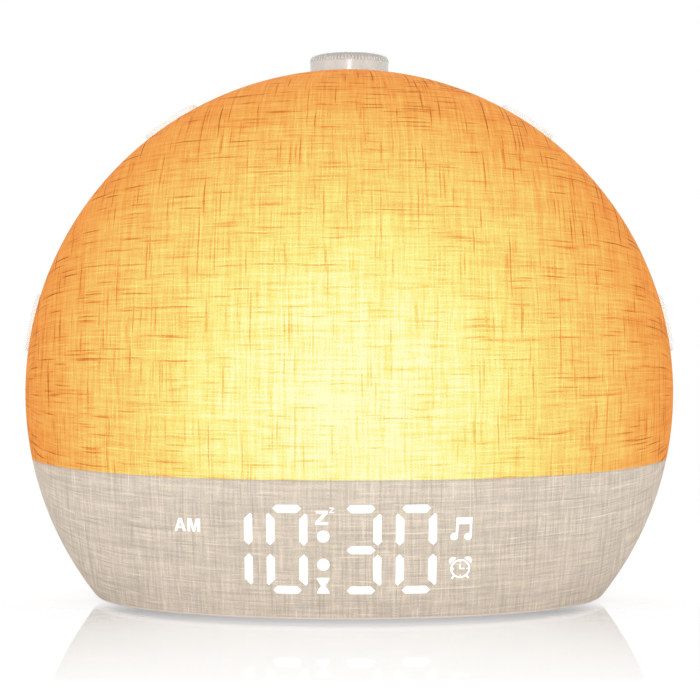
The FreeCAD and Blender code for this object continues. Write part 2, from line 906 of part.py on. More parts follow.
def feet():
    """Four rubber feet, set into the base plate."""
    pads = []
    for x, y in foot_places():
        pad = rod(foot_radius, (x, y, 0), (x, y, foot_lift + foot_recess))
        lower_rim = [edge for edge in pad.Edges if edge.Closed and edge.CenterOfMass.z < foot_lift / 2]
        pads.append(pad.makeFillet(foot_lift / 3, lower_rim))
    return group(pads)


def dial_cap():
    """Hollow dial with a rounded shoulder and a hub that grips the shaft."""
    low = well_floor + dial_gap
    shoulder_low = dial_top - dial_shoulder
    body = rod(dial_radius, (0, dial_y, low), (0, dial_y, dial_top))
    top_edges = [edge for edge in body.Edges if edge.BoundBox.ZMin > shoulder_low]
    body = body.makeFillet(dial_shoulder, top_edges)
    hollow = rod(dial_radius - dial_wall, (0, dial_y, low - past), (0, dial_y, shoulder_low))
    hub = rod(hub_radius, (0, dial_y, hub_bottom()), (0, dial_y, dial_top - dial_shoulder / 2))
    cap = fuse([body.cut(hollow), hub])
    return cap.cut(shaft_shape(hub_bottom() - past, shaft_top + fit_gap, press_gap))


def hub_bottom():
    """Underside of the dial's hub, clear of the bush when the dial is pressed."""
    return bush_top + dial_travel + 2 * fit_gap


def shaft_shape(low, high, gap):
    """Shaft with a flat on its upper stretch, larger all round by gap."""
    round_bar = rod(shaft_radius + gap, (0, dial_y, low), (0, dial_y, high))
    flat = box(flat_offset + gap, far, -far, far, max(low, bush_top) - past, high + past)
    return round_bar.cut(flat)


def dial_shaft():
    """Encoder shaft, round in the bush and flat where the dial grips it."""
    low = push_pin_bottom + push_pin_height
    round_part = rod(shaft_radius, (0, dial_y, low), (0, dial_y, bush_top))
    return round_part.fuse(shaft_shape(bush_top - past, shaft_top, 0)).removeSplitter()


def dial_push_pin():
    """Pin under the shaft that works the encoder's push switch."""
    return rod(push_pin_radius, (0, dial_y, push_pin_bottom), (0, dial_y, push_pin_bottom + push_pin_height))


def encoder_body():
    """Encoder can with its threaded bush."""
    half = encoder_width / 2
    can = box(-half, half, dial_y - half, dial_y + half, encoder_bottom, encoder_top)
    bush = rod(bush_radius, (0, dial_y, encoder_top - past), (0, dial_y, bush_top))
    floor = encoder_bottom + encoder_floor
    bore = rod(shaft_radius + shaft_running_gap, (0, dial_y, floor), (0, dial_y, bush_top + past))
    return can.fuse(bush).removeSplitter().cut(bore)


def encoder_washer():
    """Washer under the nut."""
    ring = rod(washer_radius, (0, dial_y, well_floor), (0, dial_y, well_floor + washer_height))
    return ring.cut(rod(bush_radius + screw_hole_gap, (0, dial_y, well_floor - past), (0, dial_y, top)))


def encoder_nut():
    """Hexagon nut that clamps the encoder to the floor of the well."""
    low = well_floor + washer_height
    turns = [step * math.pi / 3 for step in range(7)]
    corners = [vec(nut_radius * math.cos(turn), dial_y + nut_radius * math.sin(turn), low) for turn in turns]
    nut = Part.Face(Part.makePolygon(corners)).extrude(vec(0, 0, nut_height))
    return nut.cut(rod(bush_radius + screw_hole_gap, (0, dial_y, low - past), (0, dial_y, top)))


def encoder_board():
    """Board under the encoder."""
    half_width = encoder_board_width / 2
    half_depth = encoder_board_depth / 2
    low = encoder_bottom - board_thickness
    board = box(-half_width, half_width, dial_y - half_depth, dial_y + half_depth, low, encoder_bottom)
    holes = [small_hole((side * encoder_boss_x, dial_y, low), (0, 0, 1), board_thickness) for side in (-1, 1)]
    return board.cut(group(holes))


def encoder_screws():
    """Screws that hold the encoder's board."""
    low = encoder_bottom - board_thickness
    return group([small_screw((side * encoder_boss_x, dial_y, low), (0, 0, 1)) for side in (-1, 1)])


def key_cap(angle):
    """Key with a crowned face that follows the rim, a flange inside the wall and a stem."""
    crown = rod(body_radius + key_proud, (0, -key_width, 0), (0, key_width, 0))
    face = key_opening(0, key_flange_top - key_flange_thickness / 2, far).common(crown)
    outer = [edge for edge in face.Edges if edge.CenterOfMass.z > body_radius - key_proud
             and edge.BoundBox.ZMin > key_flange_top + key_proud]
    face = face.makeFillet(key_edge, outer)
    flange = rounded_plate(key_length + 2 * key_flange_width, key_width + 2 * key_flange_width,
                           key_corner, key_flange_top - key_flange_thickness, key_flange_top)
    stem = rod(key_stem_radius, (0, 0, key_stem_end), (0, 0, key_flange_top - key_flange_thickness / 2))
    return at_key(fuse([face, flange, stem]), angle)


def key_plunger(angle):
    """Plunger of the switch under a key; it moves with the key."""
    return at_key(rod(plunger_radius, (0, 0, switch_top - plunger_depth), (0, 0, key_stem_end)), angle)


def key_switches():
    """Bodies of the four switches, each with a bore for its plunger."""
    half = switch_width / 2
    can = box(-half, half, -half, half, key_board_top, switch_top)
    floor = switch_top - plunger_depth - key_travel - fit_gap
    bore = rod(plunger_radius + plunger_gap, (0, 0, floor), (0, 0, switch_top + past))
    return group([at_key(can.cut(bore), angle) for angle in key_angles])


def key_boards():
    """Small boards under the keys."""
    low = key_board_top - board_thickness
    board = rounded_plate(key_board_length, key_board_width, key_board_corner, low, key_board_top)
    holes = [small_hole((side * key_post_spread, 0, low), (0, 0, 1), board_thickness) for side in (-1, 1)]
    board = board.cut(group(holes))
    return group([at_key(board, angle) for angle in key_angles])


def key_board_screws():
    """Screws that hold the key boards to their posts."""
    seats = [(side * key_post_spread, 0, key_board_top - board_thickness) for side in (-1, 1)]
    return group([at_key(small_screw(seat, (0, 0, 1)), angle) for angle in key_angles for seat in seats])


def main_board():
    """Board on the base plate that runs the clock."""
    board = box(-main_board_half_width, main_board_half_width,
                seam + main_board_front, seam + main_board_rear, board_bottom, board_top)
    holes = [small_hole((x, y, board_top), (0, 0, -1), board_thickness) for x, y in main_post_places()]
    return board.cut(group(holes))


def main_board_screws():
    """Screws that hold the main board to its posts."""
    return group([small_screw((x, y, board_top), (0, 0, -1)) for x, y in main_post_places()])


def inlet_height():
    """Height of the inlet's axis."""
    return board_top + inlet_axis_lift


def power_inlet():
    """Barrel inlet on the rear edge of the main board, with its centre pin."""
    corner = math.hypot(inlet_width / 2, axis_height - board_top)
    mouth = rear_y(corner, housing_wall) - fit_gap
    floor = mouth - inlet_bore_depth
    half = inlet_width / 2
    z = inlet_height()
    body = box(-half, half, mouth - inlet_length, mouth, board_top, board_top + inlet_body_height)
    bore = rod(inlet_bore_radius, (0, floor, z), (0, mouth + past, z))
    pin = rod(inlet_pin_radius, (0, floor - past, z), (0, mouth - inlet_pin_setback, z))
    return body.cut(bore).fuse(pin)


def cell_holder():
    """Round holder for the coin cell that keeps the time when the power is off."""
    x, y = cell_place[0], seam + cell_place[1]
    floor = board_top + holder_floor
    outer = rod(cell_radius + holder_wall, (x, y, board_top), (x, y, floor + cell_height))
    seat = rod(cell_radius + fit_gap, (x, y, floor), (x, y, top))
    thumb = box(x - cell_radius / 2, x + cell_radius / 2, y - far, y, floor, top)
    return outer.cut(seat).cut(thumb)


def coin_cell():
    """Round cell in its holder."""
    x, y = cell_place[0], seam + cell_place[1]
    low = board_top + holder_floor
    cell = rod(cell_radius, (x, y, low), (x, y, low + cell_height))
    rim = [edge for edge in cell.Edges if edge.Closed and edge.CenterOfMass.z > low + cell_height / 2]
    return cell.makeFillet(cell_height / 6, rim)


def on_board(x, y, wide, deep, high):
    """Block on the main board, by its centre and size."""
    y += seam
    return box(x - wide / 2, x + wide / 2, y - deep / 2, y + deep / 2, board_top, board_top + high)


def board_chips():
    """Flat chips on the main board."""
    return group([on_board(*place, *size) for place, size in zip(chip_places, chip_sizes)])


def board_capacitors():
    """Upright round capacitors on the main board."""
    cans = zip(capacitor_places, capacitor_sizes)
    return group([rod(radius, (x, seam + y, board_top), (x, seam + y, board_top + high))
                  for (x, y), (radius, high) in cans])


def board_plugs():
    """Plugs that the leads end in."""
    places = (lamp_plug, dial_plug, speaker_plug, key_plug, (-key_plug[0], key_plug[1]))
    plugs = [on_board(x, y, plug_width, plug_depth, plug_height) for x, y in places]
    front = main_board_front + display_plug_setback
    plugs.append(on_board(0, front + plug_depth / 2, display_plug_width, plug_depth, plug_height))
    return group(plugs)


def speaker_front():
    """Y of the speaker flange's inner face."""
    return back_inside - gasket_thickness - speaker_flange_thickness


def speaker_ring(outer, inner, y_low, y_high):
    """Flat ring about the speaker's axis."""
    ring = rod(outer, (0, y_low, speaker_height), (0, y_high, speaker_height))
    return ring.cut(rod(inner, (0, y_low - past, speaker_height), (0, y_high + past, speaker_height)))


def speaker_cup(wide_neck, wide_front, neck, front):
    """Cone about the speaker's axis."""
    return cone(wide_neck, wide_front, (0, neck, speaker_height), (0, front, speaker_height))


def speaker_frame():
    """Pressed basket with a flange that is screwed to the back."""
    front = speaker_front()
    neck = speaker_neck()
    wall = speaker_flange_thickness
    mouth = speaker_radius - gasket_width
    flange = speaker_ring(speaker_flange_radius, mouth, front, front + wall)
    outer = speaker_cup(magnet_radius, speaker_radius, neck, front)
    inner = speaker_cup(magnet_radius - wall, speaker_radius - wall, neck + wall, front + wall)
    z = speaker_height
    cuts = [
        rod(speaker_coil_radius + speaker_coil_gap, (0, neck - past, z), (0, neck + 2 * wall, z)),
        rod(mouth, (0, front - past, z), (0, far, z)),
    ]
    cuts += [small_hole((x, front, height), (0, 1, 0), wall) for x, height in speaker_screw_places()]
    return fuse([flange, outer.cut(inner)]).cut(group(cuts))


def speaker_neck():
    """Y where the basket meets the magnet."""
    return back_inside - speaker_depth + magnet_height


def speaker_magnet():
    """Round magnet behind the basket."""
    neck = speaker_neck()
    return rod(magnet_radius, (0, neck - magnet_height, speaker_height), (0, neck, speaker_height))


def speaker_cone():
    """Paper cone with a flat middle."""
    front = speaker_front()
    deep = speaker_neck() + 3 * cone_thickness
    wall = cone_thickness
    outer = speaker_cup(speaker_coil_radius, speaker_cone_radius, deep, front)
    return outer.cut(speaker_cup(speaker_coil_radius, speaker_cone_radius, deep + wall, front + wall))


def speaker_surround():
    """Soft half-roll between the cone and the frame."""
    front = speaker_front()
    mouth = speaker_radius - gasket_width
    middle = (speaker_cone_radius + mouth) / 2
    tube = (mouth - speaker_cone_radius) / 2
    centre = vec(0, front, speaker_height)
    roll = Part.makeTorus(middle, tube, centre, vec(0, 1, 0))
    roll = roll.cut(Part.makeTorus(middle, tube - cone_thickness / 2, centre, vec(0, 1, 0)))
    return roll.common(box(-far, far, front, far, -far, far))


def speaker_gasket():
    """Foam ring between the speaker and the back."""
    low = back_inside - gasket_thickness
    return speaker_ring(speaker_radius, speaker_radius - gasket_width, low, back_inside)


def speaker_screws():
    """Screws that hold the speaker to the back."""
    length = speaker_flange_thickness + gasket_thickness + housing_wall / 2
    return group([pan_screw((x, speaker_front(), z), (0, 1, 0), small_screw_radius, length,
                            small_screw_head_radius, small_screw_head_height)
                  for x, z in speaker_screw_places()])


def pair(name, points):
    """Two leads side by side along one route."""
    leads = []
    for side in (-1, 1):
        route = [(x + side * lead_pitch / 2, seam + y, z) for x, y, z in points]
        leads.append(lead(name, route, lead_radius))
    return leads


def lamp_leads():
    """From the back of the lamp board, through the reflector, down to the main board."""
    x, y = lamp_plug
    z = lead_hole_height()
    start = lamp_front() + board_thickness - seam
    plug = board_top + plug_height
    across = lead_hole_x
    route = [(across, start, z), (across, start + 8, z), (across + 0.4, 6.5, z - 9),
             (across - 0.3, 4.5, z - 20), (x + 0.5, y + 1.5, plug + 9), (x, y, plug + 5), (x, y, plug)]
    return group(pair("lamp_leads", route))


def speaker_leads():
    """From the lower side of the speaker to the main board."""
    x, y = speaker_plug
    plug = board_top + plug_height
    high = speaker_height - speaker_screw_circle
    start = speaker_front() - seam
    route = [(0, start, high), (0, start - 7, high), (2, start - 11.5, high - 8),
             (6.5, start - 14, high - 16), (12.5, start - 17, high - 22.5), (x, y, plug + 6), (x, y, plug)]
    return group(pair("speaker_leads", route))


def display_leads():
    """Six leads from the back of the display board to the main board."""
    start = display_plane() + board_thickness - seam
    end = main_board_front + display_plug_setback
    z = board_top + plug_height / 2
    leads = []
    for place in range(6):
        x = (place - 2.5) * lead_pitch
        middle = (start + end) / 2
        route = [(x, start, z + 5), (x, start + 7, z + 5), (x, middle, z + 3), (x, end - 6, z), (x, end, z)]
        leads.append(lead("display_leads", [(x, seam + y, height) for x, y, height in route], lead_radius))
    return group(leads)


def dial_leads():
    """From the encoder board, past the lamp's pillar, down to the main board."""
    x, y = dial_plug
    plug = board_top + plug_height
    low = encoder_bottom - board_thickness
    route = [(5, dial_setback, low), (5, dial_setback, low - 9), (10, 12, low - 22), (17, 10.5, low - 38),
             (22.5, 10, low - 54), (26, 9.5, low - 70), (28, 10, low - 85), (30, 11.5, low - 98),
             (x, y, plug + 6), (x, y, plug)]
    return group(pair("dial_leads", route))


def rim_point(angle, radius, y):
    """Point inside the rim, by its angle from the top and distance from the body's axis."""
    turn = math.radians(angle)
    return (radius * math.sin(turn), seam + y, axis_height + radius * math.cos(turn))


def under_key_board(angle, along, drop):
    """Point this far along a key board from its middle and below it, in the board's own directions."""
    height = key_board_top - board_thickness - drop
    return rim_point(angle + math.degrees(math.atan2(along, height)), math.hypot(along, height), key_setback)


def key_leads():
    """On each side, one lead between the two key boards and one on to the main board."""
    leads = []
    inner = key_board_top - board_thickness - 8
    along = key_post_spread - 3
    plug = board_top + plug_height
    for side in (-1, 1):
        x, y = side * key_plug[0], key_plug[1]
        high = side * key_angles[2]
        low = side * key_angles[3]
        route = [under_key_board(high, side * along, 0), under_key_board(high, side * along, 5),
                 rim_point(high + side * 18, inner, key_setback + 0.8),
                 rim_point(low - side * 17, inner, key_setback + 0.6),
                 under_key_board(low, -side * along, 5), under_key_board(low, -side * along, 0)]
        leads.append(lead("key_leads", route, lead_radius))
        route = [under_key_board(low, side * along, 0), under_key_board(low, side * along, 6),
                 rim_point(low + side * 18, inner - 3, key_setback + 2),
                 rim_point(low + side * 29, inner - 10, key_setback + 6),
                 rim_point(low + side * 40, inner - 15, key_setback + 12),
                 (x + side * 1.5, seam + y - 1, plug + 14), (x, seam + y, plug + 7), (x, seam + y, plug)]
        leads.append(lead("key_leads", route, lead_radius))
    return group(leads)


def all_nodes():
    """Every node by name."""
    nodes = {
        "fabric_cover": fabric_cover(),
        "dome_diffuser": dome_diffuser(),
        "front_bezel": front_bezel(),
        "reflector": reflector(),
        "lamp_board": lamp_board(),
        "lamp_leds": lamp_leds(),
        "lamp_screws": lamp_screws(),
        "display_mask": display_mask(),
        "display_pipes": display_pipes(),
        "display_leds": display_leds(),
        "display_board": display_board(),
        "display_screws": display_screws(),
        "rear_housing": rear_housing(),
        "housing_screws": housing_screws(),
        "base_plate": base_plate(),
        "base_screws": base_screws(),
        "feet": feet(),
        "dial_cap": dial_cap(),
        "dial_shaft": dial_shaft(),
        "dial_push_pin": dial_push_pin(),
        "encoder_body": encoder_body(),
        "encoder_washer": encoder_washer(),
        "encoder_nut": encoder_nut(),
        "encoder_board": encoder_board(),
        "encoder_screws": encoder_screws(),
        "key_switches": key_switches(),
        "key_boards": key_boards(),
        "key_board_screws": key_board_screws(),
        "main_board": main_board(),
        "main_board_screws": main_board_screws(),
        "power_inlet": power_inlet(),
        "cell_holder": cell_holder(),
        "coin_cell": coin_cell(),
        "board_chips": board_chips(),
        "board_capacitors": board_capacitors(),
        "board_plugs": board_plugs(),
        "speaker_frame": speaker_frame(),
        "speaker_magnet": speaker_magnet(),
        "speaker_cone": speaker_cone(),
        "speaker_surround": speaker_surround(),
        "speaker_gasket": speaker_gasket(),
        "speaker_screws": speaker_screws(),
        "lamp_leads": lamp_leads(),
        "speaker_leads": speaker_leads(),
        "display_leads": display_leads(),
        "dial_leads": dial_leads(),
        "key_leads": key_leads(),
    }
    for name, angle in zip(key_names, key_angles):
        nodes["key_" + name] = key_cap(angle)
        nodes["plunger_" + name] = key_plunger(angle)
    return nodes


os.makedirs("parts", exist_ok=True)
for name, shape in all_nodes().items():
    if not shape.isValid():
        print("invalid shape", name)
    print(name, "solids", len(shape.Solids), "volume", round(shape.Volume, 1))
    shape.exportStep("parts/" + name + ".step")
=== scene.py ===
import math
import bpy
import bmesh
from bpy.props import FloatProperty, FloatVectorProperty, IntProperty, PointerProperty
from mathutils import Matrix, Vector
from mathutils.geometry import tessellate_polygon


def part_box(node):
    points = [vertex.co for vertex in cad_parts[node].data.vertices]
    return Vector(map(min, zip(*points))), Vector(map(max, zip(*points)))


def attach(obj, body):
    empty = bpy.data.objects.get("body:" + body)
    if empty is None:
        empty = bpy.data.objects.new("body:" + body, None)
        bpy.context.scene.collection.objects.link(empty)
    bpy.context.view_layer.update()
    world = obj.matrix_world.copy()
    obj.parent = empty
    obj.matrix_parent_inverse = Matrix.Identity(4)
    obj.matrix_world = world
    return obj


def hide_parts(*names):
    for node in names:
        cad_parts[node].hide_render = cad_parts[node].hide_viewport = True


bl_info = {
    "name": "Sunrise alarm clock",
    "version": (1, 0, 0),
    "blender": (4, 5, 0),
    "location": "View3D > Sidebar > Clock",
    "description": "Cloth front, time display, dial ridges and finishes of a round sunrise alarm clock",
    "category": "Add Mesh",
}

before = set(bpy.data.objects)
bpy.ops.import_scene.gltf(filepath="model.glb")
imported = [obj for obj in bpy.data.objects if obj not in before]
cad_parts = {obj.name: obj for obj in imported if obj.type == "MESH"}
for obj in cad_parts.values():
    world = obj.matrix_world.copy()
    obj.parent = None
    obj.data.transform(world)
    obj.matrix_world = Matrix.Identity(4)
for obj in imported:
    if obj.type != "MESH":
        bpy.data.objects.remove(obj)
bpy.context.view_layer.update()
MM = 0.001

# Body: the front is half an ellipsoid about a level axis, cut flat below
COVER_LOW, COVER_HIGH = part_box("fabric_cover")
RIM = (COVER_HIGH[0] - COVER_LOW[0]) / 2
AXIS_Z = COVER_HIGH[2] - RIM
SEAM_Y = COVER_HIGH[1]
DEPTH = SEAM_Y - COVER_LOW[1]
BASE_Z = COVER_LOW[2]
LIGHT_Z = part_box("dome_diffuser")[0][2]
DIAL_LOW, DIAL_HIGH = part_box("dial_cap")
DIAL_Y = (DIAL_LOW[1] + DIAL_HIGH[1]) / 2
DIAL_RADIUS = (DIAL_HIGH[0] - DIAL_LOW[0]) / 2

# Dial: radius of its rounded shoulder, how far below it the ridges start, how far they stand out
# of the side and the display values of its colour
DIAL_SHOULDER = 2.3 * MM
RIDGE_DROP = 0.2 * MM
RIDGE_PROUD = 0.17 * MM
DIAL_TONE = (203, 197, 190)

# Cloth: distance between threads, and how far the threads droop over the dome across and up
THREAD_PITCH = 0.38 * MM
DROOP_ACROSS, DROOP_UP = 0.05, 0.1

# Lamp behind the cloth: its height above the axis, half the light line's width, its brightness
# at shares of the rim's radius, and the display values of the cloth's colour at each brightness
LAMP_RISE = 2.0 * MM
LINE_REACH = 85.3 * MM
LAMP_FALL = (
    (0.0, 0.97), (0.20, 0.92), (0.32, 0.86), (0.44, 0.77), (0.56, 0.66),
    (0.67, 0.60), (0.75, 0.55), (0.82, 0.50), (0.91, 0.42), (1.0, 0.34),
)
LAMP_COLOURS = (
    (0.0, (96, 44, 10)), (0.2, (186, 100, 36)), (0.36, (236, 146, 62)), (0.5, (243, 181, 90)),
    (0.62, (246, 210, 112)), (0.76, (249, 236, 134)), (0.88, (250, 247, 162)), (1.0, (253, 252, 200)),
)

# Stage: half the floor's width, the surroundings' strength as a source of light, the camera's
# place to the side, and each lamp's name, place, what it looks at, size and watts
FLOOR_REACH = 12.0
WORLD_LIGHT = 0.63
CAMERA_SIDE = 0.0002
LAMPS = (
    ("front_softbox", (0.0, -1.3, 0.8), (0, 0, 0.07), (1.4, 0.9), 1.0),
    ("low_softbox", (0.0, -1.2, 0.14), (0, 0, 0.03), (1.6, 0.25), 1.7),
    ("front_strip", (0.0, -1.0, 0.33), (0, 0, 0.15), (0.03, 0.5), 2.3),
    ("left_softbox", (-1.2, -0.6, 0.7), (0, 0, 0.07), (0.9, 0.9), 4.0),
    ("right_softbox", (1.2, -0.6, 0.7), (0, 0, 0.07), (0.9, 0.9), 4.0),
    ("back_softbox", (0.0, 1.2, 1.0), (0, 0, 0.07), (1.4, 0.9), 6.0),
)


def linear(red, green, blue):
    """Linear colour from display values of 0 to 255."""
    values = [channel / 255 for channel in (red, green, blue)]
    return tuple(v / 12.92 if v <= 0.04045 else ((v + 0.055) / 1.055) ** 2.4 for v in values)


# Settings that a user would change

class ClothSettings(bpy.types.PropertyGroup):
    thread_pitch: FloatProperty(
        name="Thread pitch", description="Distance between neighbouring threads",
        default=THREAD_PITCH, unit="LENGTH")
    wall: FloatProperty(
        name="Wall", description="Thickness of the cloth", default=0.5 * MM, unit="LENGTH")
    hem_turn: FloatProperty(
        name="Hem turn", description="Width of cloth turned under the base",
        default=3.2 * MM, unit="LENGTH")
    line_rise: FloatProperty(
        name="Line rise", description="How far the light line rises at the sides",
        default=1.2 * MM, unit="LENGTH")
    slub: FloatProperty(
        name="Slub", description="Strength of the thick threads", default=1.0, min=0.0, max=2.0)
    linen: FloatVectorProperty(
        name="Linen", description="Colour of the unlit cloth", subtype="COLOR", size=3,
        default=linear(213, 200, 185))


class DisplaySettings(bpy.types.PropertyGroup):
    proud: FloatProperty(
        name="Proud", description="Height of the lit shapes above the cloth",
        default=0.03 * MM, unit="LENGTH")
    stroke: FloatProperty(
        name="Stroke", description="Width of a digit's stroke", default=2.15 * MM, unit="LENGTH")
    digit_width: FloatProperty(
        name="Digit width", description="Width of one digit", default=10.6 * MM, unit="LENGTH")
    digit_bottom: FloatProperty(
        name="Digit bottom", description="Height of the digits' lower edge",
        default=8.4 * MM, unit="LENGTH")
    digit_height: FloatProperty(
        name="Digit height", description="Height of one digit", default=23.9 * MM, unit="LENGTH")
    hour: IntProperty(name="Hour", description="Hour that the display shows", default=10, min=1, max=12)
    minute: IntProperty(
        name="Minute", description="Minute that the display shows", default=30, min=0, max=59)
    glow: FloatVectorProperty(
        name="Glow", description="Colour of the lit shapes", subtype="COLOR", size=3,
        default=linear(252, 250, 249))


class DialSettings(bpy.types.PropertyGroup):
    ridges: IntProperty(
        name="Ridges", description="Number of ridges round the dial", default=72, min=12, max=120)
    ridge_radius: FloatProperty(
        name="Ridge radius", description="Radius of one ridge", default=0.36 * MM, unit="LENGTH")


class StageSettings(bpy.types.PropertyGroup):
    distance: FloatProperty(
        name="Distance", description="Camera's distance in front of the origin",
        default=0.6075, unit="LENGTH")
    height: FloatProperty(
        name="Height", description="Camera's height above the floor", default=0.095, unit="LENGTH")
    pitch: FloatProperty(
        name="Pitch", description="How far the camera looks down",
        default=math.radians(2.37), subtype="ANGLE")
    lens: FloatProperty(name="Lens", description="Focal length in millimetres", default=113.0)


# Nodes

def add_node(tree, kind, inputs=None, settings=None):
    """New node: its settings are set first, then the values or links of its sockets."""
    node = tree.nodes.new(kind)
    for name, value in (settings or {}).items():
        setattr(node, name, value)
    for name, value in (inputs or {}).items():
        if isinstance(value, bpy.types.NodeSocket):
            tree.links.new(value, node.inputs[name])
        else:
            node.inputs[name].default_value = value
    return node


class Field:
    """A shader value. Sums, products and comparisons of fields add their Math nodes."""

    def __init__(self, shader, socket):
        self.shader = shader
        self.socket = socket

    def math(self, operation, *others):
        """This value and the others put through one Math node."""
        return self.shader.add("ShaderNodeMath", {"operation": operation}, dict(enumerate((self,) + others)))

    def __add__(self, other):
        return self.math("ADD", other)

    __radd__ = __add__

    def __sub__(self, other):
        return self.math("SUBTRACT", other)

    def __rsub__(self, other):
        return self.shader.add("ShaderNodeMath", {"operation": "SUBTRACT"}, {0: other, 1: self})

    def __mul__(self, other):
        return self.math("MULTIPLY", other)

    __rmul__ = __mul__

    def __truediv__(self, other):
        return self.math("DIVIDE", other)

    def __pow__(self, other):
        return self.math("POWER", other)

    def __abs__(self):
        return self.math("ABSOLUTE")

    def floor(self):
        """The whole number at or below this value."""
        return self.math("FLOOR")

    def part(self):
        """What this value has beyond its whole number."""
        return self.math("FRACT")

    def most(self, other):
        """The greater of two values."""
        return self.math("MAXIMUM", other)

    def above(self, other):
        """One where this value is greater, nought elsewhere."""
        return self.math("GREATER_THAN", other)

    def between(self, low, high, start=0.0, end=1.0):
        """Smooth change from start to end while this value goes from low to high."""
        return self.shader.add(
            "ShaderNodeMapRange", {"interpolation_type": "SMOOTHSTEP"},
            {"Value": self, "From Min": low, "From Max": high, "To Min": start, "To Max": end})


class Shader:
    """Builds one material's node tree."""

    def __init__(self, name):
        self.material = bpy.data.materials.new(name)
        self.material.use_nodes = True
        self.tree = self.material.node_tree
        self.tree.nodes.clear()

    def add(self, kind, settings=None, inputs=None, output=0):
        """One output of a new node, whose inputs may be fields."""
        given = {name: value.socket if isinstance(value, Field) else value
                 for name, value in (inputs or {}).items()}
        return Field(self, add_node(self.tree, kind, given, settings).outputs[output])

    def place(self):
        """Object coordinates."""
        return self.add("ShaderNodeTexCoord", output="Object")

    def split(self, vector):
        """The three values of a vector."""
        parts = self.add("ShaderNodeSeparateXYZ", inputs={0: vector}).socket.node
        return [Field(self, output) for output in parts.outputs]

    def join(self, x, y, z=0.0):
        """Vector of three values."""
        return self.add("ShaderNodeCombineXYZ", inputs={0: x, 1: y, 2: z})

    def noise(self, vector, scale, detail=2.0, roughness=0.5):
        """Cloudy value about one half."""
        return self.add(
            "ShaderNodeTexNoise", {"noise_dimensions": "3D"},
            {"Vector": vector, "Scale": scale, "Detail": detail, "Roughness": roughness})

    def mix(self, factor, first, second):
        """Mix of two colours."""
        return self.add(
            "ShaderNodeMix", {"data_type": "RGBA"},
            {0: factor, 6: self.colour(first), 7: self.colour(second)}, output=2)

    def colour(self, value):
        """A field as it is, or the socket value of a colour of three channels."""
        return value if isinstance(value, Field) else (*value, 1.0)

    def ramp(self, factor, stops):
        """Colour from a ramp of places and colours."""
        result = self.add("ShaderNodeValToRGB", inputs={"Fac": factor})
        elements = result.socket.node.color_ramp.elements
        while len(elements) < len(stops):
            elements.new(0.5)
        for element, (place, colour) in zip(elements, stops):
            element.position = place
            element.color = (*colour, 1.0)
        return result

    def bump(self, height, distance, strength=1.0):
        """Normal of a fine relief."""
        return self.add(
            "ShaderNodeBump", inputs={"Strength": strength, "Distance": distance, "Height": height})

    def blend(self, factor, first, second):
        """Mix of two surfaces."""
        return self.add("ShaderNodeMixShader", inputs={0: factor, 1: first, 2: second})

    def surfaced(self, surface):
        """The material with this surface."""
        add_node(self.tree, "ShaderNodeOutputMaterial", {"Surface": surface.socket})
        return self.material

    def finish(self, **inputs):
        """The material with a Principled surface, from its sockets' values."""
        names = {name.replace("_", " "): value for name, value in inputs.items()}
        return self.surfaced(self.add("ShaderNodeBsdfPrincipled", inputs=names))


# Shapes

def front_y(x, z):
    """Y of the cloth's outer surface in front of a place."""
    share = (x * x + (z - AXIS_Z) ** 2) / RIM ** 2
    return SEAM_Y - DEPTH * math.sqrt(max(0.0, 1.0 - share))


def thread_place(x, z, y):
    """Place on the flat cloth of a place on the stretched front, in metres."""
    ahead = max(1e-4, (SEAM_Y - y) / DEPTH)
    middle = (RIM + DEPTH) / 2
    places = []
    for value, droop in ((x / RIM, DROOP_ACROSS), ((z - AXIS_Z) / RIM, DROOP_UP)):
        level = math.asin(max(-1.0, min(1.0, value)))
        turn = (1 - droop) * level + droop * math.atan2(value, ahead)
        places.append(middle * turn + (RIM - DEPTH) / 4 * math.sin(2 * turn))
    return places


def new_object(name, mesh, material=None):
    """Object in the scene, with its one material."""
    thing = bpy.data.objects.new(name, mesh)
    bpy.context.scene.collection.objects.link(thing)
    if material:
        mesh.materials.clear()
        mesh.materials.append(material)
    return thing


def mesh_from(name, points, faces):
    """Smooth mesh from its points and faces."""
    mesh = bpy.data.meshes.new(name)
    mesh.from_pydata([tuple(point) for point in points], [], faces)
    mesh.validate()
    mesh.shade_smooth()
    return mesh


def lay_threads(mesh):
    """UV map in millimetres of flat cloth."""
    layer = mesh.uv_layers.new(name="threads")
    places = [thread_place(v.co.x, v.co.z, v.co.y) for v in mesh.vertices]
    for loop in mesh.loops:
        u, v = places[loop.vertex_index]
        layer.data[loop.index].uv = (u / MM, v / MM)


def evaluated(thing, name, material):
    """The object's mesh with its modifiers applied, as a new plain object."""
    depsgraph = bpy.context.evaluated_depsgraph_get()
    mesh = bpy.data.meshes.new_from_object(thing.evaluated_get(depsgraph))
    mesh.name = name
    bpy.data.objects.remove(thing)
    return new_object(name, mesh, material)


def walled(name, mesh, thickness, material):
    """Object from a surface mesh, given a wall on its inner side."""
    thing = new_object(name + "_flat", mesh, material)
    wall = thing.modifiers.new("wall", "SOLIDIFY")
    wall.thickness = thickness
    wall.offset = -1.0
    return evaluated(thing, name, material)


def curve_between(first, corner, last, steps):
    """Points of a smooth turn from first to last round a corner."""
    points = []
    for step in range(1, steps + 1):
        t = step / steps
        points.append(first * (1 - t) ** 2 + corner * (2 * t * (1 - t)) + last * t ** 2)
    return points


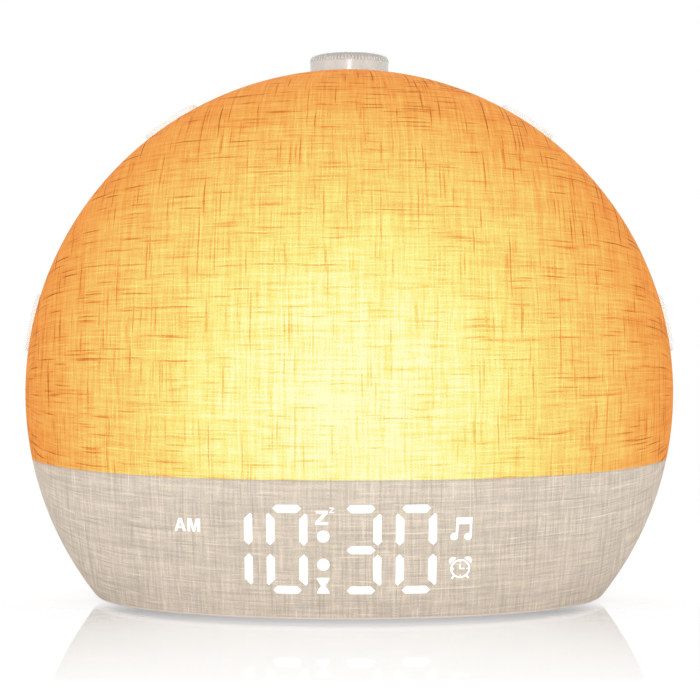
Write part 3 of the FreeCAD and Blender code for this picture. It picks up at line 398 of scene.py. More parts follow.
def cloth_mesh(settings):
    """Rows of the stretched cloth from its turned hem up to the top of the rim."""
    rows, columns, fold_steps, hem_steps = 96, 120, 4, 6
    edge_turn = 0.6 * MM
    hem_round = 1.3 * MM
    hem_drop = 0.2 * MM
    low = BASE_Z - hem_drop
    start = math.asin((low + hem_round - AXIS_Z) / RIM)
    turns = [start + (math.pi / 2 - start) * (row / rows) for row in range(rows)]
    edge = math.asin(min(1.0, edge_turn / DEPTH))
    sweep = math.pi / 2 - edge
    angles = [sweep * (2 * column / columns - 1) for column in range(columns + 1)]

    def row_points(turn):
        """One row from side to side, folded inward at the rim."""
        wide, deep = RIM * math.cos(turn), DEPTH * math.cos(turn)
        z = AXIS_Z + RIM * math.sin(turn)
        points = [Vector((wide * math.sin(a), SEAM_Y - deep * math.cos(a), z)) for a in angles]
        folds = []
        for side, place in ((-1, 0), (1, -1)):
            rim = Vector((side * wide, SEAM_Y, z))
            inward = Vector((-side * math.cos(turn), 0, -math.sin(turn)))
            folds.append(curve_between(points[place], rim, rim + inward * edge_turn, fold_steps))
        return folds[0][::-1] + points + folds[1]

    corner_turn = math.asin((low - AXIS_Z) / RIM)
    wide, deep = RIM * math.cos(corner_turn), DEPTH * math.cos(corner_turn)
    hems = []
    for top, corner in zip(row_points(start), row_points(corner_turn)):
        normal = Vector((corner.x / wide ** 2, (corner.y - SEAM_Y) / deep ** 2, 0))
        inward = -normal.normalized()
        under = corner + inward * hem_round
        turned = curve_between(under, corner, top, hem_steps)[:-1]
        hems.append([under + inward * settings.hem_turn, under] + turned)
    grid = [list(level) for level in zip(*hems)] + [row_points(turn) for turn in turns]
    width = len(grid[0])
    points = [point for row in grid for point in row]
    faces = []
    for row in range(len(grid) - 1):
        for column in range(width - 1):
            base = row * width + column
            faces.append((base, base + 1, base + width + 1, base + width))
    top = len(points)
    points.append(Vector((0, SEAM_Y, AXIS_Z + RIM)))
    last = (len(grid) - 1) * width
    faces += [(last + column, last + column + 1, top)
              for column in range(fold_steps, width - fold_steps - 1)]
    return mesh_from("cloth_front", points, faces)


def cloth_finish(settings):
    """Woven cloth: lit through above the light line, plain linen below it."""
    shader = Shader("stretched linen")
    pitch = settings.thread_pitch / MM
    threads = shader.add("ShaderNodeUVMap", {"uv_map": "threads"})
    x, _, z = shader.split(shader.place())
    u, v, _ = shader.split(threads)
    u = u + (shader.noise(threads, 0.09, 2.0) - 0.5) * 0.9
    v = v + (shader.noise(threads, 0.08, 2.0) - 0.5) * 0.9
    column, row = (u / pitch).floor(), (v / pitch).floor()
    over = ((column + row) * 0.5).part().above(0.25)
    across, along = (u / pitch).part() * 2 - 1, (v / pitch).part() * 2 - 1
    weft = 1 - along * along
    warp = 1 - across * across
    weave = over * weft * (0.7 + 0.3 * warp) + (1 - over) * warp * (0.7 + 0.3 * weft)

    def tone(position, place, length, shift):
        """Tone of a stretch of thread, steady across its width. Each shift gives another pattern."""
        return shader.noise(shader.join(position / length, place * 7.31 + shift, shift), 1.0, 0.5)

    weft_tone = tone(u, row, 30.0, 3.7) * 0.5 + tone(u, row, 6.5, 7.9) * 0.5
    warp_tone = tone(v, column, 30.0, 11.3) * 0.5 + tone(v, column, 6.5, 17.1) * 0.5
    weft_slub = tone(u, row, 13.0, 23.9).between(0.60, 0.78)
    warp_slub = tone(v, column, 15.0, 41.1).between(0.60, 0.78)
    slub = weft_slub.most(warp_slub) * settings.slub
    weft_pale = tone(u, row, 8.0, 57.7).between(0.68, 0.78)
    warp_pale = tone(v, column, 9.0, 71.9).between(0.68, 0.78)
    pale = weft_pale.most(warp_pale)
    shown = over * weft_tone + (1 - over) * warp_tone
    streak = (weft_tone + warp_tone) * 0.35 + shown * 0.3
    cloud = shader.noise(threads, 0.12, 2.0)
    fibre = shader.noise(threads, 2.4, 2.0)

    rise = abs(x / LINE_REACH) ** 4 * settings.line_rise
    lit = (z - rise).between(LIGHT_Z - 0.05 * MM, LIGHT_Z + 0.05 * MM)
    # Painted shadow: a dark band just below the light line, the shadow of the wall behind the cloth
    edge = (z - rise).between(LIGHT_Z - 0.6 * MM, LIGHT_Z - 0.1 * MM) * (1 - lit)

    up = z - (AXIS_Z + LAMP_RISE)
    spread = ((x * x + up * up) ** 0.5) / RIM
    level = shader.ramp(spread, [(place, (value,) * 3) for place, value in LAMP_FALL])
    grain = (streak - 0.5) * 1.3 + (cloud - 0.5) * 0.2 + (weave - 0.55) * 0.14 + (fibre - 0.5) * 0.4
    light = level * (1 + grain) - slub * 0.22 + pale * 0.06
    glow = shader.ramp(light, [(place, linear(*values)) for place, values in LAMP_COLOURS])

    linen = tuple(settings.linen)
    dark = tuple(channel * 0.5 for channel in linen)
    light_thread = tuple(min(1.0, channel * 1.35) for channel in linen)
    plain = shader.mix((streak - 0.5) * 3.4 + (fibre - 0.5) * 1.0 + 0.5, dark, light_thread)
    plain = shader.mix(0.5, plain, linen)
    plain = shader.mix(slub * 0.3, plain, dark)
    plain = shader.mix(pale * 0.5, plain, light_thread)
    # Painted shade: darker at the threads' sides and in the gaps between them
    plain = shader.mix((1 - weave) * 0.12, plain, dark)
    # Painted shadow along the light line
    plain = shader.mix(edge * 0.35, plain, dark)
    # Painted highlight: the cloth is lighter along the bottom fold, where the hem catches light
    hem = 1 - z.between(BASE_Z + 0.35 * MM, BASE_Z + 0.75 * MM)
    plain = shader.mix(hem * 0.85, plain, linear(250, 236, 228))
    shaded = shader.mix(lit, plain, (0.02, 0.012, 0.004))
    return shader.finish(
        Base_Color=shaded,
        Roughness=0.9,
        Emission_Color=shader.mix(lit, (0.0, 0.0, 0.0), glow),
        Emission_Strength=1.0,
        Specular_IOR_Level=0.12,
        Normal=shader.bump(weave + slub * 0.6, 0.08 * MM, 0.55),
    )


def painted_groove_shade(shader):
    """Mask of painted shade between the dial's ridges: one between them, nought elsewhere."""
    x, y, z = shader.split(shader.place())
    away = (x * x + (y - DIAL_Y) * (y - DIAL_Y)) ** 0.5
    blur = 0.2 * MM
    low = DIAL_HIGH[2] - DIAL_SHOULDER - RIDGE_DROP
    inner = DIAL_RADIUS - DIAL_SHOULDER
    return z.between(low, low + blur) * away.between(inner - blur, inner + blur)


def moulded_finish(name, colour, grain=0.35, rough=0.42, gloss=0.5, shade_mask=None):
    """Moulded plastic with a fine spark-eroded texture and faint tone changes.

    Where the optional mask function gives one for the shader, the tone is darker: painted shade, as between
    the dial's ridges."""
    shader = Shader(name)
    place = shader.place()
    fine = shader.noise(place, 5200, 2.0)
    middle = shader.noise(place, 900, 2.0)
    broad = shader.noise(place, 22, 3.0)
    shade = tuple(channel * 0.93 for channel in colour)
    tint = shader.mix((broad - 0.5) * 1.4 + 0.5, colour, shade)
    tip = tuple(min(1.0, channel * 1.04) for channel in colour)
    tint = shader.mix((middle - 0.5) * 0.5 + 0.2, tint, tip)
    if shade_mask:
        # Painted shade: a darker tone where the mask gives one, between the dial's ridges
        tint = shader.mix(shade_mask(shader) * 0.75, tint, tuple(channel * 0.55 for channel in colour))
    return shader.finish(
        Base_Color=tint,
        Roughness=rough + (broad - 0.5) * 0.16 + (middle - 0.5) * 0.10,
        Specular_IOR_Level=gloss,
        Normal=shader.bump(fine * 0.6 + middle * 0.4, 0.004 * MM, grain),
    )


def brushed_finish(name, colour, direction):
    """Metal with fine scratches along one axis, given as 0, 1 or 2."""
    shader = Shader(name)
    x, y, z = shader.split(shader.place())
    stretch = [120.0 if axis == direction else 4000.0 for axis in range(3)]
    scratch = shader.noise(shader.join(x * stretch[0], y * stretch[1], z * stretch[2]), 1.0, 2.0)
    broad = shader.noise(shader.place(), 60, 2.0)
    shade = tuple(channel * 0.86 for channel in colour)
    tint = shader.mix((scratch - 0.5) * 0.8 + (broad - 0.5) * 0.6 + 0.5, shade, colour)
    return shader.finish(
        Base_Color=tint,
        Metallic=1.0,
        Roughness=0.3 + (scratch - 0.5) * 0.3 + (broad - 0.5) * 0.1,
        Normal=shader.bump(scratch, 0.01 * MM, 0.3),
    )


def board_finish():
    """Green circuit board with a grid of cells and etched tracks."""
    shader = Shader("circuit board")
    place = shader.place()
    cells = shader.add(
        "ShaderNodeTexBrick", {"offset": 0.5},
        {"Vector": place, "Color1": (1, 1, 1, 1), "Color2": (0.6, 0.6, 0.6, 1), "Mortar": (0, 0, 0, 1),
         "Scale": 260.0, "Mortar Size": 0.06})
    tracks = shader.noise(place, 300, 1.0).between(0.50, 0.54)
    tint = shader.mix(cells * 0.5, linear(18, 74, 44), linear(30, 104, 62))
    tint = shader.mix(tracks * 0.5, tint, linear(44, 128, 76))
    return shader.finish(
        Base_Color=tint,
        Roughness=0.35 + tracks * 0.15,
        Normal=shader.bump(tracks, 0.03 * MM, 0.4),
    )


def rubber_finish():
    """Dark rubber with a dull skin."""
    shader = Shader("foot rubber")
    fine = shader.noise(shader.place(), 3000, 3.0)
    broad = shader.noise(shader.place(), 90, 2.0)
    tint = shader.mix(broad, linear(58, 57, 56), linear(84, 82, 80))
    return shader.finish(
        Base_Color=tint,
        Roughness=0.8 + (broad - 0.5) * 0.2,
        Normal=shader.bump(fine, 0.05 * MM, 0.5),
    )


def fibre_finish(name, colour):
    """Pressed paper fibres."""
    shader = Shader(name)
    x, y, z = shader.split(shader.place())
    strands = shader.noise(shader.join(x * 700, y * 3000, z * 700), 1.0, 4.0, 0.7)
    tint = shader.mix((strands - 0.5) * 2 + 0.5, tuple(channel * 0.7 for channel in colour), colour)
    return shader.finish(
        Base_Color=tint,
        Roughness=0.85 + (strands - 0.5) * 0.2,
        Normal=shader.bump(strands, 0.05 * MM, 0.6),
    )


def glow_finish(settings):
    """Light of the display through the threads."""
    shader = Shader("display light")
    threads = shader.add("ShaderNodeUVMap", {"uv_map": "threads"})
    u, v, _ = shader.split(threads)
    pitch, reach = THREAD_PITCH / MM, 4.0
    weft = shader.noise(shader.join(u / reach, (v / pitch).floor() * 7.31), 1.0, 1.0)
    warp = shader.noise(shader.join((u / pitch).floor() * 7.31, v / reach), 1.0, 1.0)
    streak = (weft + warp) * 0.5
    glow = tuple(settings.glow)
    tint = shader.mix((streak - 0.5) * 1.2 + 0.5, tuple(channel * 0.94 for channel in glow), glow)
    return shader.finish(
        Base_Color=shader.mix(0.7, tint, (0.05, 0.05, 0.05)),
        Roughness=0.9,
        Emission_Color=tint,
        Emission_Strength=0.85,
        Normal=shader.bump(streak, 0.05 * MM, 0.3),
    )


# Display shapes: flat outlines in metres on the plane of x and z

SEGMENTS = {
    "0": "abcdef", "1": "bc", "2": "abged", "3": "abgcd", "4": "fgbc",
    "5": "afgcd", "6": "afgedc", "7": "abc", "8": "abcdefg", "9": "abcdfg",
}
DIGIT_LEFTS = (-35.5 * MM, -21.3 * MM, -2.3 * MM, 11.95 * MM)
COLON_X, COLON_HEIGHTS, COLON_RADIUS = -6.65 * MM, (24.0 * MM, 16.45 * MM), 1.62 * MM

# Signs in shares of their boxes, then each box's left, bottom, width and height
LETTER_A = [(0, 0), (0.25, 0), (0.33, 0.22), (0.67, 0.22), (0.75, 0), (1, 0), (0.64, 1), (0.36, 1)]
HOLE_A = [(0.40, 0.40), (0.60, 0.40), (0.50, 0.74)]
LETTER_M = [
    (0, 0), (0.21, 0), (0.21, 0.72), (0.40, 0), (0.60, 0), (0.79, 0.72), (0.79, 0), (1, 0),
    (1, 1), (0.68, 1), (0.50, 0.34), (0.32, 1), (0, 1)]
LETTER_Z = [
    (0, 0), (1, 0), (1, 0.19), (0.36, 0.19), (0.97, 0.81), (0.97, 1), (0.05, 1), (0.05, 0.81),
    (0.64, 0.81), (0, 0.18)]
TIMER_SIDE = [
    (1, 0), (1, 0.13), (0.93, 0.17), (0.88, 0.28), (0.72, 0.43), (0.68, 0.5), (0.72, 0.57),
    (0.88, 0.72), (0.93, 0.83), (1, 0.87), (1, 1)]
BOX_A = (-45.4 * MM, 24.5 * MM, 3.15 * MM, 3.55 * MM)
BOX_M = (-41.9 * MM, 24.5 * MM, 3.35 * MM, 3.55 * MM)
BOX_LARGE_Z = (-8.75 * MM, 27.1 * MM, 3.35 * MM, 3.7 * MM)
BOX_SMALL_Z = (-5.15 * MM, 30.2 * MM, 1.35 * MM, 1.45 * MM)
BOX_TIMER = (-8.35 * MM, 8.55 * MM, 3.25 * MM, 4.35 * MM)

# Note sign: middles and radius of its two heads, and its stems in millimetres
NOTE_HEADS = ((27.0 * MM, 23.65 * MM), (30.6 * MM, 23.55 * MM))
NOTE_HEAD_RADIUS = 0.98 * MM
NOTE_STEMS = (
    (27.35, 23.7), (27.98, 23.7), (28.15, 26.9), (31.05, 26.9), (30.95, 23.6), (31.58, 23.6),
    (31.72, 28.7), (27.55, 28.7))
ALARM_PLACE = (28.76 * MM, 14.93 * MM)


def pointed(x, z, length, width, upright, first, last):
    """Outline of a stroke whose two points lie off its middle line by shares of half its width."""
    half, wide = length / 2, width / 2
    outline = []
    for end, lean in ((-1, first), (1, last)):
        for side in (-end, 0, end):
            shift = side if side else lean
            slope = abs(shift - lean) if side else 0.0
            outline.append((end * (half - wide * slope), -wide * shift))
    if upright:
        outline = [(across, along) for along, across in outline]
    return [(x + a, z + b) for a, b in outline]


def digit_outlines(character, left, settings):
    """Outlines of the lit strokes of one digit."""
    stroke, width = settings.stroke, settings.digit_width
    low, high = settings.digit_bottom, settings.digit_bottom + settings.digit_height
    middle = (low + high) / 2
    level_bars, bar_cut, gaps = 3, 1.5, 0.2 * MM
    bar = width - bar_cut * stroke
    column = (settings.digit_height - level_bars * stroke) / 2 - gaps
    lower, upper = (low + stroke / 2 + middle) / 2, (high - stroke / 2 + middle) / 2
    centre, start, end = left + width / 2, left + stroke / 2, left + width - stroke / 2
    # A stroke's point leans far at the digit's corners and a little elsewhere
    far, near = 0.5, 0.1
    places = {
        "a": (centre, high - stroke / 2, bar, False, -near, -near),
        "g": (centre, middle, bar, False, 0.0, 0.0),
        "d": (centre, low + stroke / 2, bar, False, near, near),
        "f": (start, upper, column, True, near, far),
        "b": (end, upper, column, True, -near, -far),
        "e": (start, lower, column, True, far, near),
        "c": (end, lower, column, True, -far, -near),
    }
    return [[pointed(x, z, length, stroke, upright, first, last)]
            for x, z, length, upright, first, last in (places[key] for key in SEGMENTS[character])]


def out_from(x, z, away, turn):
    """Point at a distance from a place, in the direction of an angle."""
    return x + away * math.cos(turn), z + away * math.sin(turn)


def round_outline(x, z, radius, steps, start=0.0, sweep=2 * math.pi):
    """Outline of a disc, or of the piece of it that a smaller sweep covers."""
    whole = math.isclose(sweep, 2 * math.pi)
    turns = [start + sweep * step / steps for step in range(steps if whole else steps + 1)]
    return [out_from(x, z, radius, turn) for turn in turns]


def scaled(outline, x, z, width, height):
    """Outline given in shares of a box, from its lower left corner."""
    return [(x + a * width, z + b * height) for a, b in outline]


def sign_outlines():
    """AM, snooze, timer, note and alarm signs and the colon, as lists of outlines whose later
    loops are holes."""
    timer = TIMER_SIDE + [(1 - a, b) for a, b in reversed(TIMER_SIDE)]
    signs = [
        [scaled(LETTER_A, *BOX_A), scaled(HOLE_A, *BOX_A)],
        [scaled(LETTER_M, *BOX_M)],
        [scaled(LETTER_Z, *BOX_LARGE_Z)],
        [scaled(LETTER_Z, *BOX_SMALL_Z)],
        [scaled(timer, *BOX_TIMER)],
    ]
    signs += [[round_outline(x, z, NOTE_HEAD_RADIUS, 20)] for x, z in NOTE_HEADS]
    signs.append([[(x * MM, z * MM) for x, z in NOTE_STEMS]])
    signs += alarm_outlines(*ALARM_PLACE)
    signs += [[round_outline(COLON_X, z, COLON_RADIUS, 32)] for z in COLON_HEIGHTS]
    return signs


def bar_outline(start, end, width):
    """Outline of a straight bar between two points."""
    along = Vector((end[0] - start[0], end[1] - start[1])).normalized()
    side = Vector((-along.y, along.x)) * width / 2
    return [(start[0] - side.x, start[1] - side.y), (end[0] - side.x, end[1] - side.y),
            (end[0] + side.x, end[1] + side.y), (start[0] + side.x, start[1] + side.y)]


def alarm_outlines(x, z):
    """Alarm sign: ring, bells, feet, hands and marks."""
    outer, line = 2.6 * MM, 0.5 * MM
    bell_away, bell_radius, bell_angle = 2.85 * MM, 1.12 * MM, 42
    foot_start, foot_end, foot_angle = outer * 0.99, outer + 0.9 * MM, 40
    mark_start, mark_end, mark_width = 1.62 * MM, 2.0 * MM, 0.35 * MM
    outlines = [[round_outline(x, z, outer, 40), round_outline(x, z, outer - line, 40)[::-1]]]
    for side in (-1, 1):
        turn = math.radians(90 - side * bell_angle)
        bell_x, bell_z = out_from(x, z, bell_away, turn)
        outlines.append([round_outline(bell_x, bell_z, bell_radius, 14, turn - math.pi / 2, math.pi)])
        turn = math.radians(-90 + side * foot_angle)
        outlines.append([bar_outline(out_from(x, z, foot_start, turn), out_from(x, z, foot_end, turn), line)])
    outlines.append([bar_outline((x - 0.1 * MM, z - 0.2 * MM), (x - 0.1 * MM, z + 1.35 * MM), 0.42 * MM)])
    outlines.append([bar_outline((x + 0.11 * MM, z), (x + 1.1 * MM, z), 0.4 * MM)])
    for quarter in (0, 90, 180, 270):
        turn = math.radians(quarter)
        ends = (out_from(x, z, away, turn) for away in (mark_start, mark_end))
        outlines.append([bar_outline(*ends, mark_width)])
    return outlines


def lay_on_cloth(name, shapes, lift, material):
    """One thin piece from flat outlines, laid on the cloth."""
    longest, film, speck = 1.3 * MM, 0.04 * MM, 0.001 * MM
    form = bmesh.new()
    for loops in shapes:
        corners = [form.verts.new((a, 0, b)) for loop in loops for a, b in loop]
        for face in tessellate_polygon([[Vector((a, b, 0)) for a, b in loop] for loop in loops]):
            form.faces.new([corners[index] for index in face])
    # Four rounds of halving bring the longest edge down to what follows the dome
    for _ in range(4):
        long_edges = [edge for edge in form.edges if edge.calc_length() > longest]
        if not long_edges:
            break
        bmesh.ops.subdivide_edges(form, edges=long_edges, cuts=1)
        bmesh.ops.triangulate(form, faces=form.faces[:])
    for face in form.faces:
        face.normal_update()
        if face.normal.y > 0:
            face.normal_flip()
    bmesh.ops.dissolve_degenerate(form, dist=speck, edges=form.edges[:])
    for vert in form.verts:
        vert.co.y = front_y(vert.co.x, vert.co.z) - lift
    mesh = bpy.data.meshes.new(name)
    form.to_mesh(mesh)
    form.free()
    lay_threads(mesh)
    return walled(name, mesh, film, material)


# Dial ridges

def ridge_tree(values, material):
    """Geometry node tree of curved ridges round the dial's shoulder, and its inputs' identifiers."""
    tree = bpy.data.node_groups.new("dial ridges", "GeometryNodeTree")
    sockets = {}
    for name, value in values.items():
        kind = "NodeSocketInt" if isinstance(value, int) else "NodeSocketFloat"
        item = tree.interface.new_socket(name, in_out="INPUT", socket_type=kind)
        item.default_value = value
        sockets[name] = item.identifier
    tree.interface.new_socket("Geometry", in_out="OUTPUT", socket_type="NodeSocketGeometry")
    given = add_node(tree, "NodeGroupInput").outputs
    bend_share, steps, sides = 0.914, 6, 6

    def result(kind, inputs=None, settings=None):
        return add_node(tree, kind, inputs, settings).outputs[0]

    def counted(operation, first, second):
        return result("ShaderNodeMath", {0: first, 1: second}, {"operation": operation})

    def point(x, z=0.0):
        return result("ShaderNodeCombineXYZ", {0: x, 2: z})

    bend = point(
        counted("ADD", given["Lower radius"], given["Bulge"]),
        counted("MULTIPLY", given["Height"], bend_share))
    arc = result("GeometryNodeCurveQuadraticBezier", {
        "Resolution": steps, "Start": point(given["Lower radius"]), "Middle": bend,
        "End": point(given["Upper radius"], given["Height"])})
    profile = result(
        "GeometryNodeCurvePrimitiveCircle", {"Resolution": sides, "Radius": given["Ridge radius"]})
    ridge = result(
        "GeometryNodeCurveToMesh", {"Fill Caps": True, "Curve": arc, "Profile Curve": profile})
    turn = counted(
        "MULTIPLY", result("GeometryNodeInputIndex"), counted("DIVIDE", 2 * math.pi, given["Count"]))
    copies = result("GeometryNodeInstanceOnPoints", {
        "Points": result("GeometryNodePoints", {"Count": given["Count"]}),
        "Instance": ridge, "Rotation": point(0.0, turn)})
    real = result("GeometryNodeRealizeInstances", {0: copies})
    painted = result("GeometryNodeSetMaterial", {"Geometry": real, "Material": material})
    add_node(tree, "NodeGroupOutput", {0: painted})
    return tree, sockets


def grown(name, values, material, place):
    """Plain mesh from the ridges' node tree, moved to its place."""
    tree, sockets = ridge_tree(values, material)
    carrier = new_object(name + "_tree", bpy.data.meshes.new(name + "_tree"))
    growth = carrier.modifiers.new("growth", "NODES")
    growth.node_group = tree
    for key, value in values.items():
        growth[sockets[key]] = value
    carrier.update_tag()
    bpy.context.view_layer.update()
    made = evaluated(carrier, name, material)
    made.data.transform(Matrix.Translation(place))
    made.data.shade_smooth()
    return made


# Operators

def paint(node, material):
    """Give a carried-over node one finish."""
    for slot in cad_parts[node].material_slots:
        slot.material = material


class CLOCK_OT_cloth(bpy.types.Operator):
    """Stretch the cloth over the front"""

    bl_idname = "clock.cloth"
    bl_label = "Cloth front"

    def execute(self, context):
        settings = context.scene.clock_cloth
        finish = cloth_finish(settings)
        mesh = cloth_mesh(settings)
        lay_threads(mesh)
        cloth = walled("cloth_front", mesh, settings.wall, finish)
        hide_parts("fabric_cover")
        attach(cloth, "root")
        return {"FINISHED"}


class CLOCK_OT_display(bpy.types.Operator):
    """Light the time and the signs"""

    bl_idname = "clock.display"
    bl_label = "Display"

    def execute(self, context):
        settings = context.scene.clock_display
        finish = glow_finish(settings)
        digits = []
        text = f"{settings.hour:2d}{settings.minute:02d}"
        for character, left in zip(text, DIGIT_LEFTS):
            if character != " ":
                digits += digit_outlines(character, left, settings)
        for name, shapes in (("display_time", digits), ("display_signs", sign_outlines())):
            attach(lay_on_cloth(name, shapes, settings.proud, finish), "root")
        return {"FINISHED"}


class CLOCK_OT_dial(bpy.types.Operator):
    """Set the ridges round the dial's shoulder"""

    bl_idname = "clock.dial"
    bl_label = "Dial ridges"

    def execute(self, context):
        settings = context.scene.clock_dial
        colour = linear(*DIAL_TONE)
        grain, rough, gloss = 0.15, 0.2, 0.9
        finish = moulded_finish("dial plastic", colour, grain, rough, gloss)
        sunk = settings.ridge_radius - RIDGE_PROUD
        values = {
            "Count": settings.ridges,
            "Ridge radius": settings.ridge_radius,
            "Lower radius": DIAL_RADIUS - sunk,
            "Upper radius": DIAL_RADIUS - DIAL_SHOULDER,
            "Height": DIAL_SHOULDER - sunk,
            "Bulge": -0.086 * DIAL_SHOULDER,
        }
        place = Vector((0, DIAL_Y, DIAL_HIGH[2] - DIAL_SHOULDER - RIDGE_DROP))
        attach(grown("dial_ridges", values, finish, place), "dial")
        # The cap's finish carries painted shade between the ridges
        paint("dial_cap", moulded_finish("dial plastic with painted groove shade", colour, grain, rough, gloss, painted_groove_shade))
        return {"FINISHED"}


class CLOCK_OT_shell(bpy.types.Operator):
    """Finish the housing, keys, base and feet"""

    bl_idname = "clock.shell"
    bl_label = "Shell finishes"

    def execute(self, context):
        cream = moulded_finish("housing plastic", linear(232, 226, 217), 0.4, 0.45)
        keys = moulded_finish("key plastic", linear(238, 234, 228), 0.25, 0.4)
        base = moulded_finish("base plastic", linear(222, 214, 204), 0.5, 0.5)
        paint("rear_housing", cream)
        paint("base_plate", base)
        paint("feet", rubber_finish())
        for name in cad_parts:
            if name.startswith("key_") and name.split("_")[1] in ("lower", "upper"):
                paint(name, keys)
        return {"FINISHED"}


class CLOCK_OT_inside(bpy.types.Operator):
    """Finish the parts inside the body"""

    bl_idname = "clock.inside"
    bl_label = "Inner finishes"

    def execute(self, context):
        finishes = (
            (moulded_finish("milky plastic", linear(240, 236, 226), 0.2, 0.35),
             ["dome_diffuser", "display_pipes"]),
            (moulded_finish("dark plastic", linear(46, 46, 48), 0.4, 0.5),
             ["front_bezel", "display_mask", "board_chips", "power_inlet", "key_switches"]),
            (moulded_finish("white plastic", linear(236, 236, 234), 0.3, 0.4),
             ["reflector", "board_plugs", "plunger_lower_left", "plunger_upper_left",
              "plunger_upper_right", "plunger_lower_right", "cell_holder", "dial_push_pin"]),
            (board_finish(),
             ["display_board", "encoder_board", "key_boards", "main_board"]),
            (brushed_finish("plated steel", linear(196, 196, 198), 2),
             ["lamp_screws", "display_screws", "housing_screws", "base_screws", "encoder_screws",
              "key_board_screws", "main_board_screws", "speaker_screws", "encoder_nut",
              "encoder_washer", "dial_shaft", "encoder_body", "coin_cell"]),
            (brushed_finish("lamp aluminium", linear(214, 214, 212), 0),
             ["lamp_board", "board_capacitors"]),
            (moulded_finish("led face", linear(250, 224, 140), 0.2, 0.3),
             ["lamp_leds", "display_leds"]),
            (moulded_finish("basket steel", linear(70, 70, 72), 0.3, 0.4), ["speaker_frame"]),
            (moulded_finish("dark magnet", linear(58, 56, 58), 0.5, 0.55), ["speaker_magnet"]),
            (fibre_finish("cone paper", linear(52, 50, 48)), ["speaker_cone"]),
            (rubber_finish(), ["speaker_surround", "speaker_gasket"]),
            (moulded_finish("lead sheath", linear(206, 60, 52), 0.15, 0.4),
             ["lamp_leads", "speaker_leads", "display_leads", "dial_leads", "key_leads"]),
        )
        for finish, names in finishes:
            for name in names:
                paint(name, finish)
        return {"FINISHED"}


def area_light(name, place, aim, size, watts):
    """Soft rectangular lamp that looks at a point."""
    lamp = bpy.data.lights.new(name, "AREA")
    lamp.shape = "RECTANGLE"
    lamp.size, lamp.size_y = size
    lamp.energy = watts
    thing = bpy.data.objects.new(name, lamp)
    thing.location = place
    thing.rotation_euler = (Vector(aim) - Vector(place)).to_track_quat("-Z", "Y").to_euler()
    bpy.context.scene.collection.objects.link(thing)


def floor_finish():
    """White floor that keeps the shadow and a faint mirror image in front of the object."""
    shader = Shader("studio floor")
    x, y, _ = shader.split(shader.place())
    white = (1.0, 1.0, 1.0, 1.0)
    near, far = 0.14, 0.3
    mirror_end = -0.1148
    seen = shader.add("ShaderNodeLightPath", output="Is Camera Ray")
    dull = shader.add("ShaderNodeBsdfDiffuse", inputs={"Color": (0.26, 0.26, 0.26, 1.0)})
    light = shader.add("ShaderNodeEmission", inputs={"Color": white, "Strength": 0.77})
    shadowed = shader.add("ShaderNodeAddShader", inputs={0: dull, 1: light})
    bright = shader.add("ShaderNodeEmission", inputs={"Color": white, "Strength": 1.0})
    away = (x * x + y * y) ** 0.5
    plain = shader.blend(away.between(near, far), shadowed, bright)
    mirror = shader.add("ShaderNodeBsdfGlossy", inputs={"Color": white, "Roughness": 0.02})
    polish = shader.add("ShaderNodeFresnel", inputs={"IOR": 1.45})
    fade = polish * (y * 7.0 + 0.99) * (1 + x * x * 110)
    fade = fade * y.above(mirror_end) * y.between(-0.02, 0.0, 1.0, 0.0)
    bounce = shader.add("ShaderNodeBsdfDiffuse", inputs={"Color": (0.92, 0.92, 0.92, 1.0)})
    return shader.surfaced(shader.blend(seen, bounce, shader.blend(fade, plain, mirror)))


def studio_world():
    """White surroundings that give less light than they show to the camera and in mirrors."""
    world = bpy.data.worlds.new("studio")
    world.use_nodes = True
    tree = world.node_tree
    tree.nodes.clear()
    light, shown = (
        add_node(tree, "ShaderNodeBackground", {"Color": (1.0, 1.0, 1.0, 1.0), "Strength": strength})
        for strength in (WORLD_LIGHT, 1.0))
    paths = add_node(tree, "ShaderNodeLightPath").outputs
    seen = paths["Is Camera Ray"]
    for name in ("Is Glossy Ray", "Is Transmission Ray"):
        either = add_node(tree, "ShaderNodeMath", {0: seen, 1: paths[name]}, {"operation": "MAXIMUM"})
        seen = either.outputs[0]
    mixer = add_node(tree, "ShaderNodeMixShader", {0: seen, 1: light.outputs[0], 2: shown.outputs[0]})
    add_node(tree, "ShaderNodeOutputWorld", {"Surface": mixer.outputs[0]})
    return world


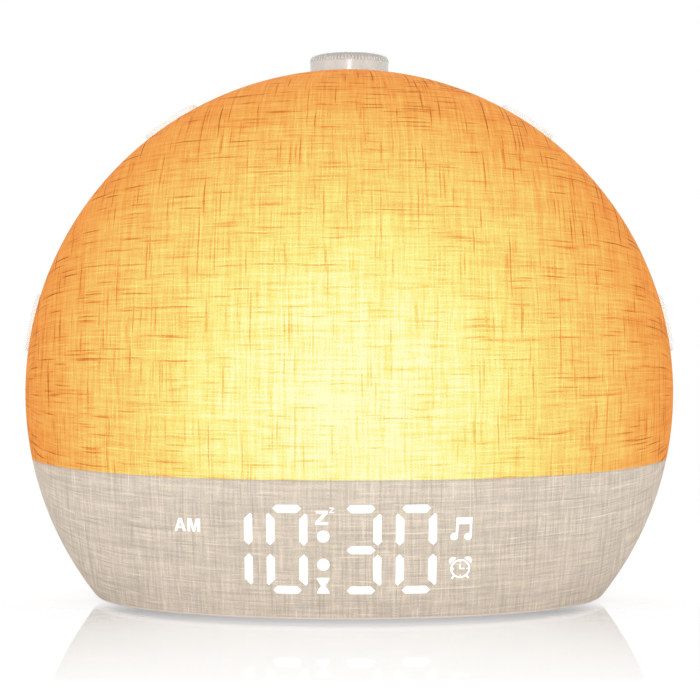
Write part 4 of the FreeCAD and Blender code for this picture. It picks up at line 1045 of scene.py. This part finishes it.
class CLOCK_OT_stage(bpy.types.Operator):
    """Set the floor, lamps, surroundings and camera"""

    bl_idname = "clock.stage"
    bl_label = "Stage"

    def execute(self, context):
        settings = context.scene.clock_stage
        corners = ((-1, -1), (1, -1), (1, 1), (-1, 1))
        points = [(FLOOR_REACH * x, FLOOR_REACH * y, 0) for x, y in corners]
        floor = new_object("studio_floor", mesh_from("studio_floor", points, [(0, 1, 2, 3)]), floor_finish())
        context.scene.world = studio_world()
        for lamp in LAMPS:
            area_light(*lamp)

        lens = bpy.data.cameras.new("camera")
        lens.sensor_width = 36.0
        lens.lens = settings.lens
        lens.clip_start = 0.01
        lens.clip_end = 50.0
        camera = bpy.data.objects.new("camera", lens)
        camera.location = (CAMERA_SIDE, -settings.distance, settings.height)
        camera.rotation_euler = (math.pi / 2 - settings.pitch, 0, 0)
        context.scene.collection.objects.link(camera)
        context.scene.camera = camera
        context.scene.view_settings.view_transform = "Standard"
        return {"FINISHED"}


class CLOCK_PT_panel(bpy.types.Panel):
    """Operators with their settings"""

    bl_idname = "CLOCK_PT_panel"
    bl_label = "Sunrise alarm clock"
    bl_space_type = "VIEW_3D"
    bl_region_type = "UI"
    bl_category = "Clock"

    def draw(self, context):
        for name, operators in PANEL_ROWS:
            box = self.layout.box()
            for operator in operators:
                box.operator(operator)
            if name:
                settings = getattr(context.scene, name)
                for key in settings.__annotations__:
                    box.prop(settings, key)


PANEL_ROWS = (
    ("clock_cloth", ("clock.cloth",)),
    ("clock_display", ("clock.display",)),
    ("clock_dial", ("clock.dial",)),
    ("", ("clock.shell", "clock.inside")),
    ("clock_stage", ("clock.stage",)),
)
CLASSES = (
    ClothSettings, DisplaySettings, DialSettings, StageSettings,
    CLOCK_OT_cloth, CLOCK_OT_display, CLOCK_OT_dial, CLOCK_OT_shell, CLOCK_OT_inside, CLOCK_OT_stage,
    CLOCK_PT_panel,
)
POINTERS = {
    "clock_cloth": ClothSettings, "clock_display": DisplaySettings,
    "clock_dial": DialSettings, "clock_stage": StageSettings,
}


def register():
    """Register the classes and add their settings to the scene."""
    for item in CLASSES:
        bpy.utils.register_class(item)
    for name, kind in POINTERS.items():
        setattr(bpy.types.Scene, name, PointerProperty(type=kind))


def unregister():
    """Undo what register did."""
    for name in POINTERS:
        delattr(bpy.types.Scene, name)
    for item in reversed(CLASSES):
        bpy.utils.unregister_class(item)


def main():
    """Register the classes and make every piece."""
    register()
    for step in (bpy.ops.clock.cloth, bpy.ops.clock.display, bpy.ops.clock.dial,
                 bpy.ops.clock.shell, bpy.ops.clock.inside, bpy.ops.clock.stage):
        step()


if __name__ == "__main__":
    main()
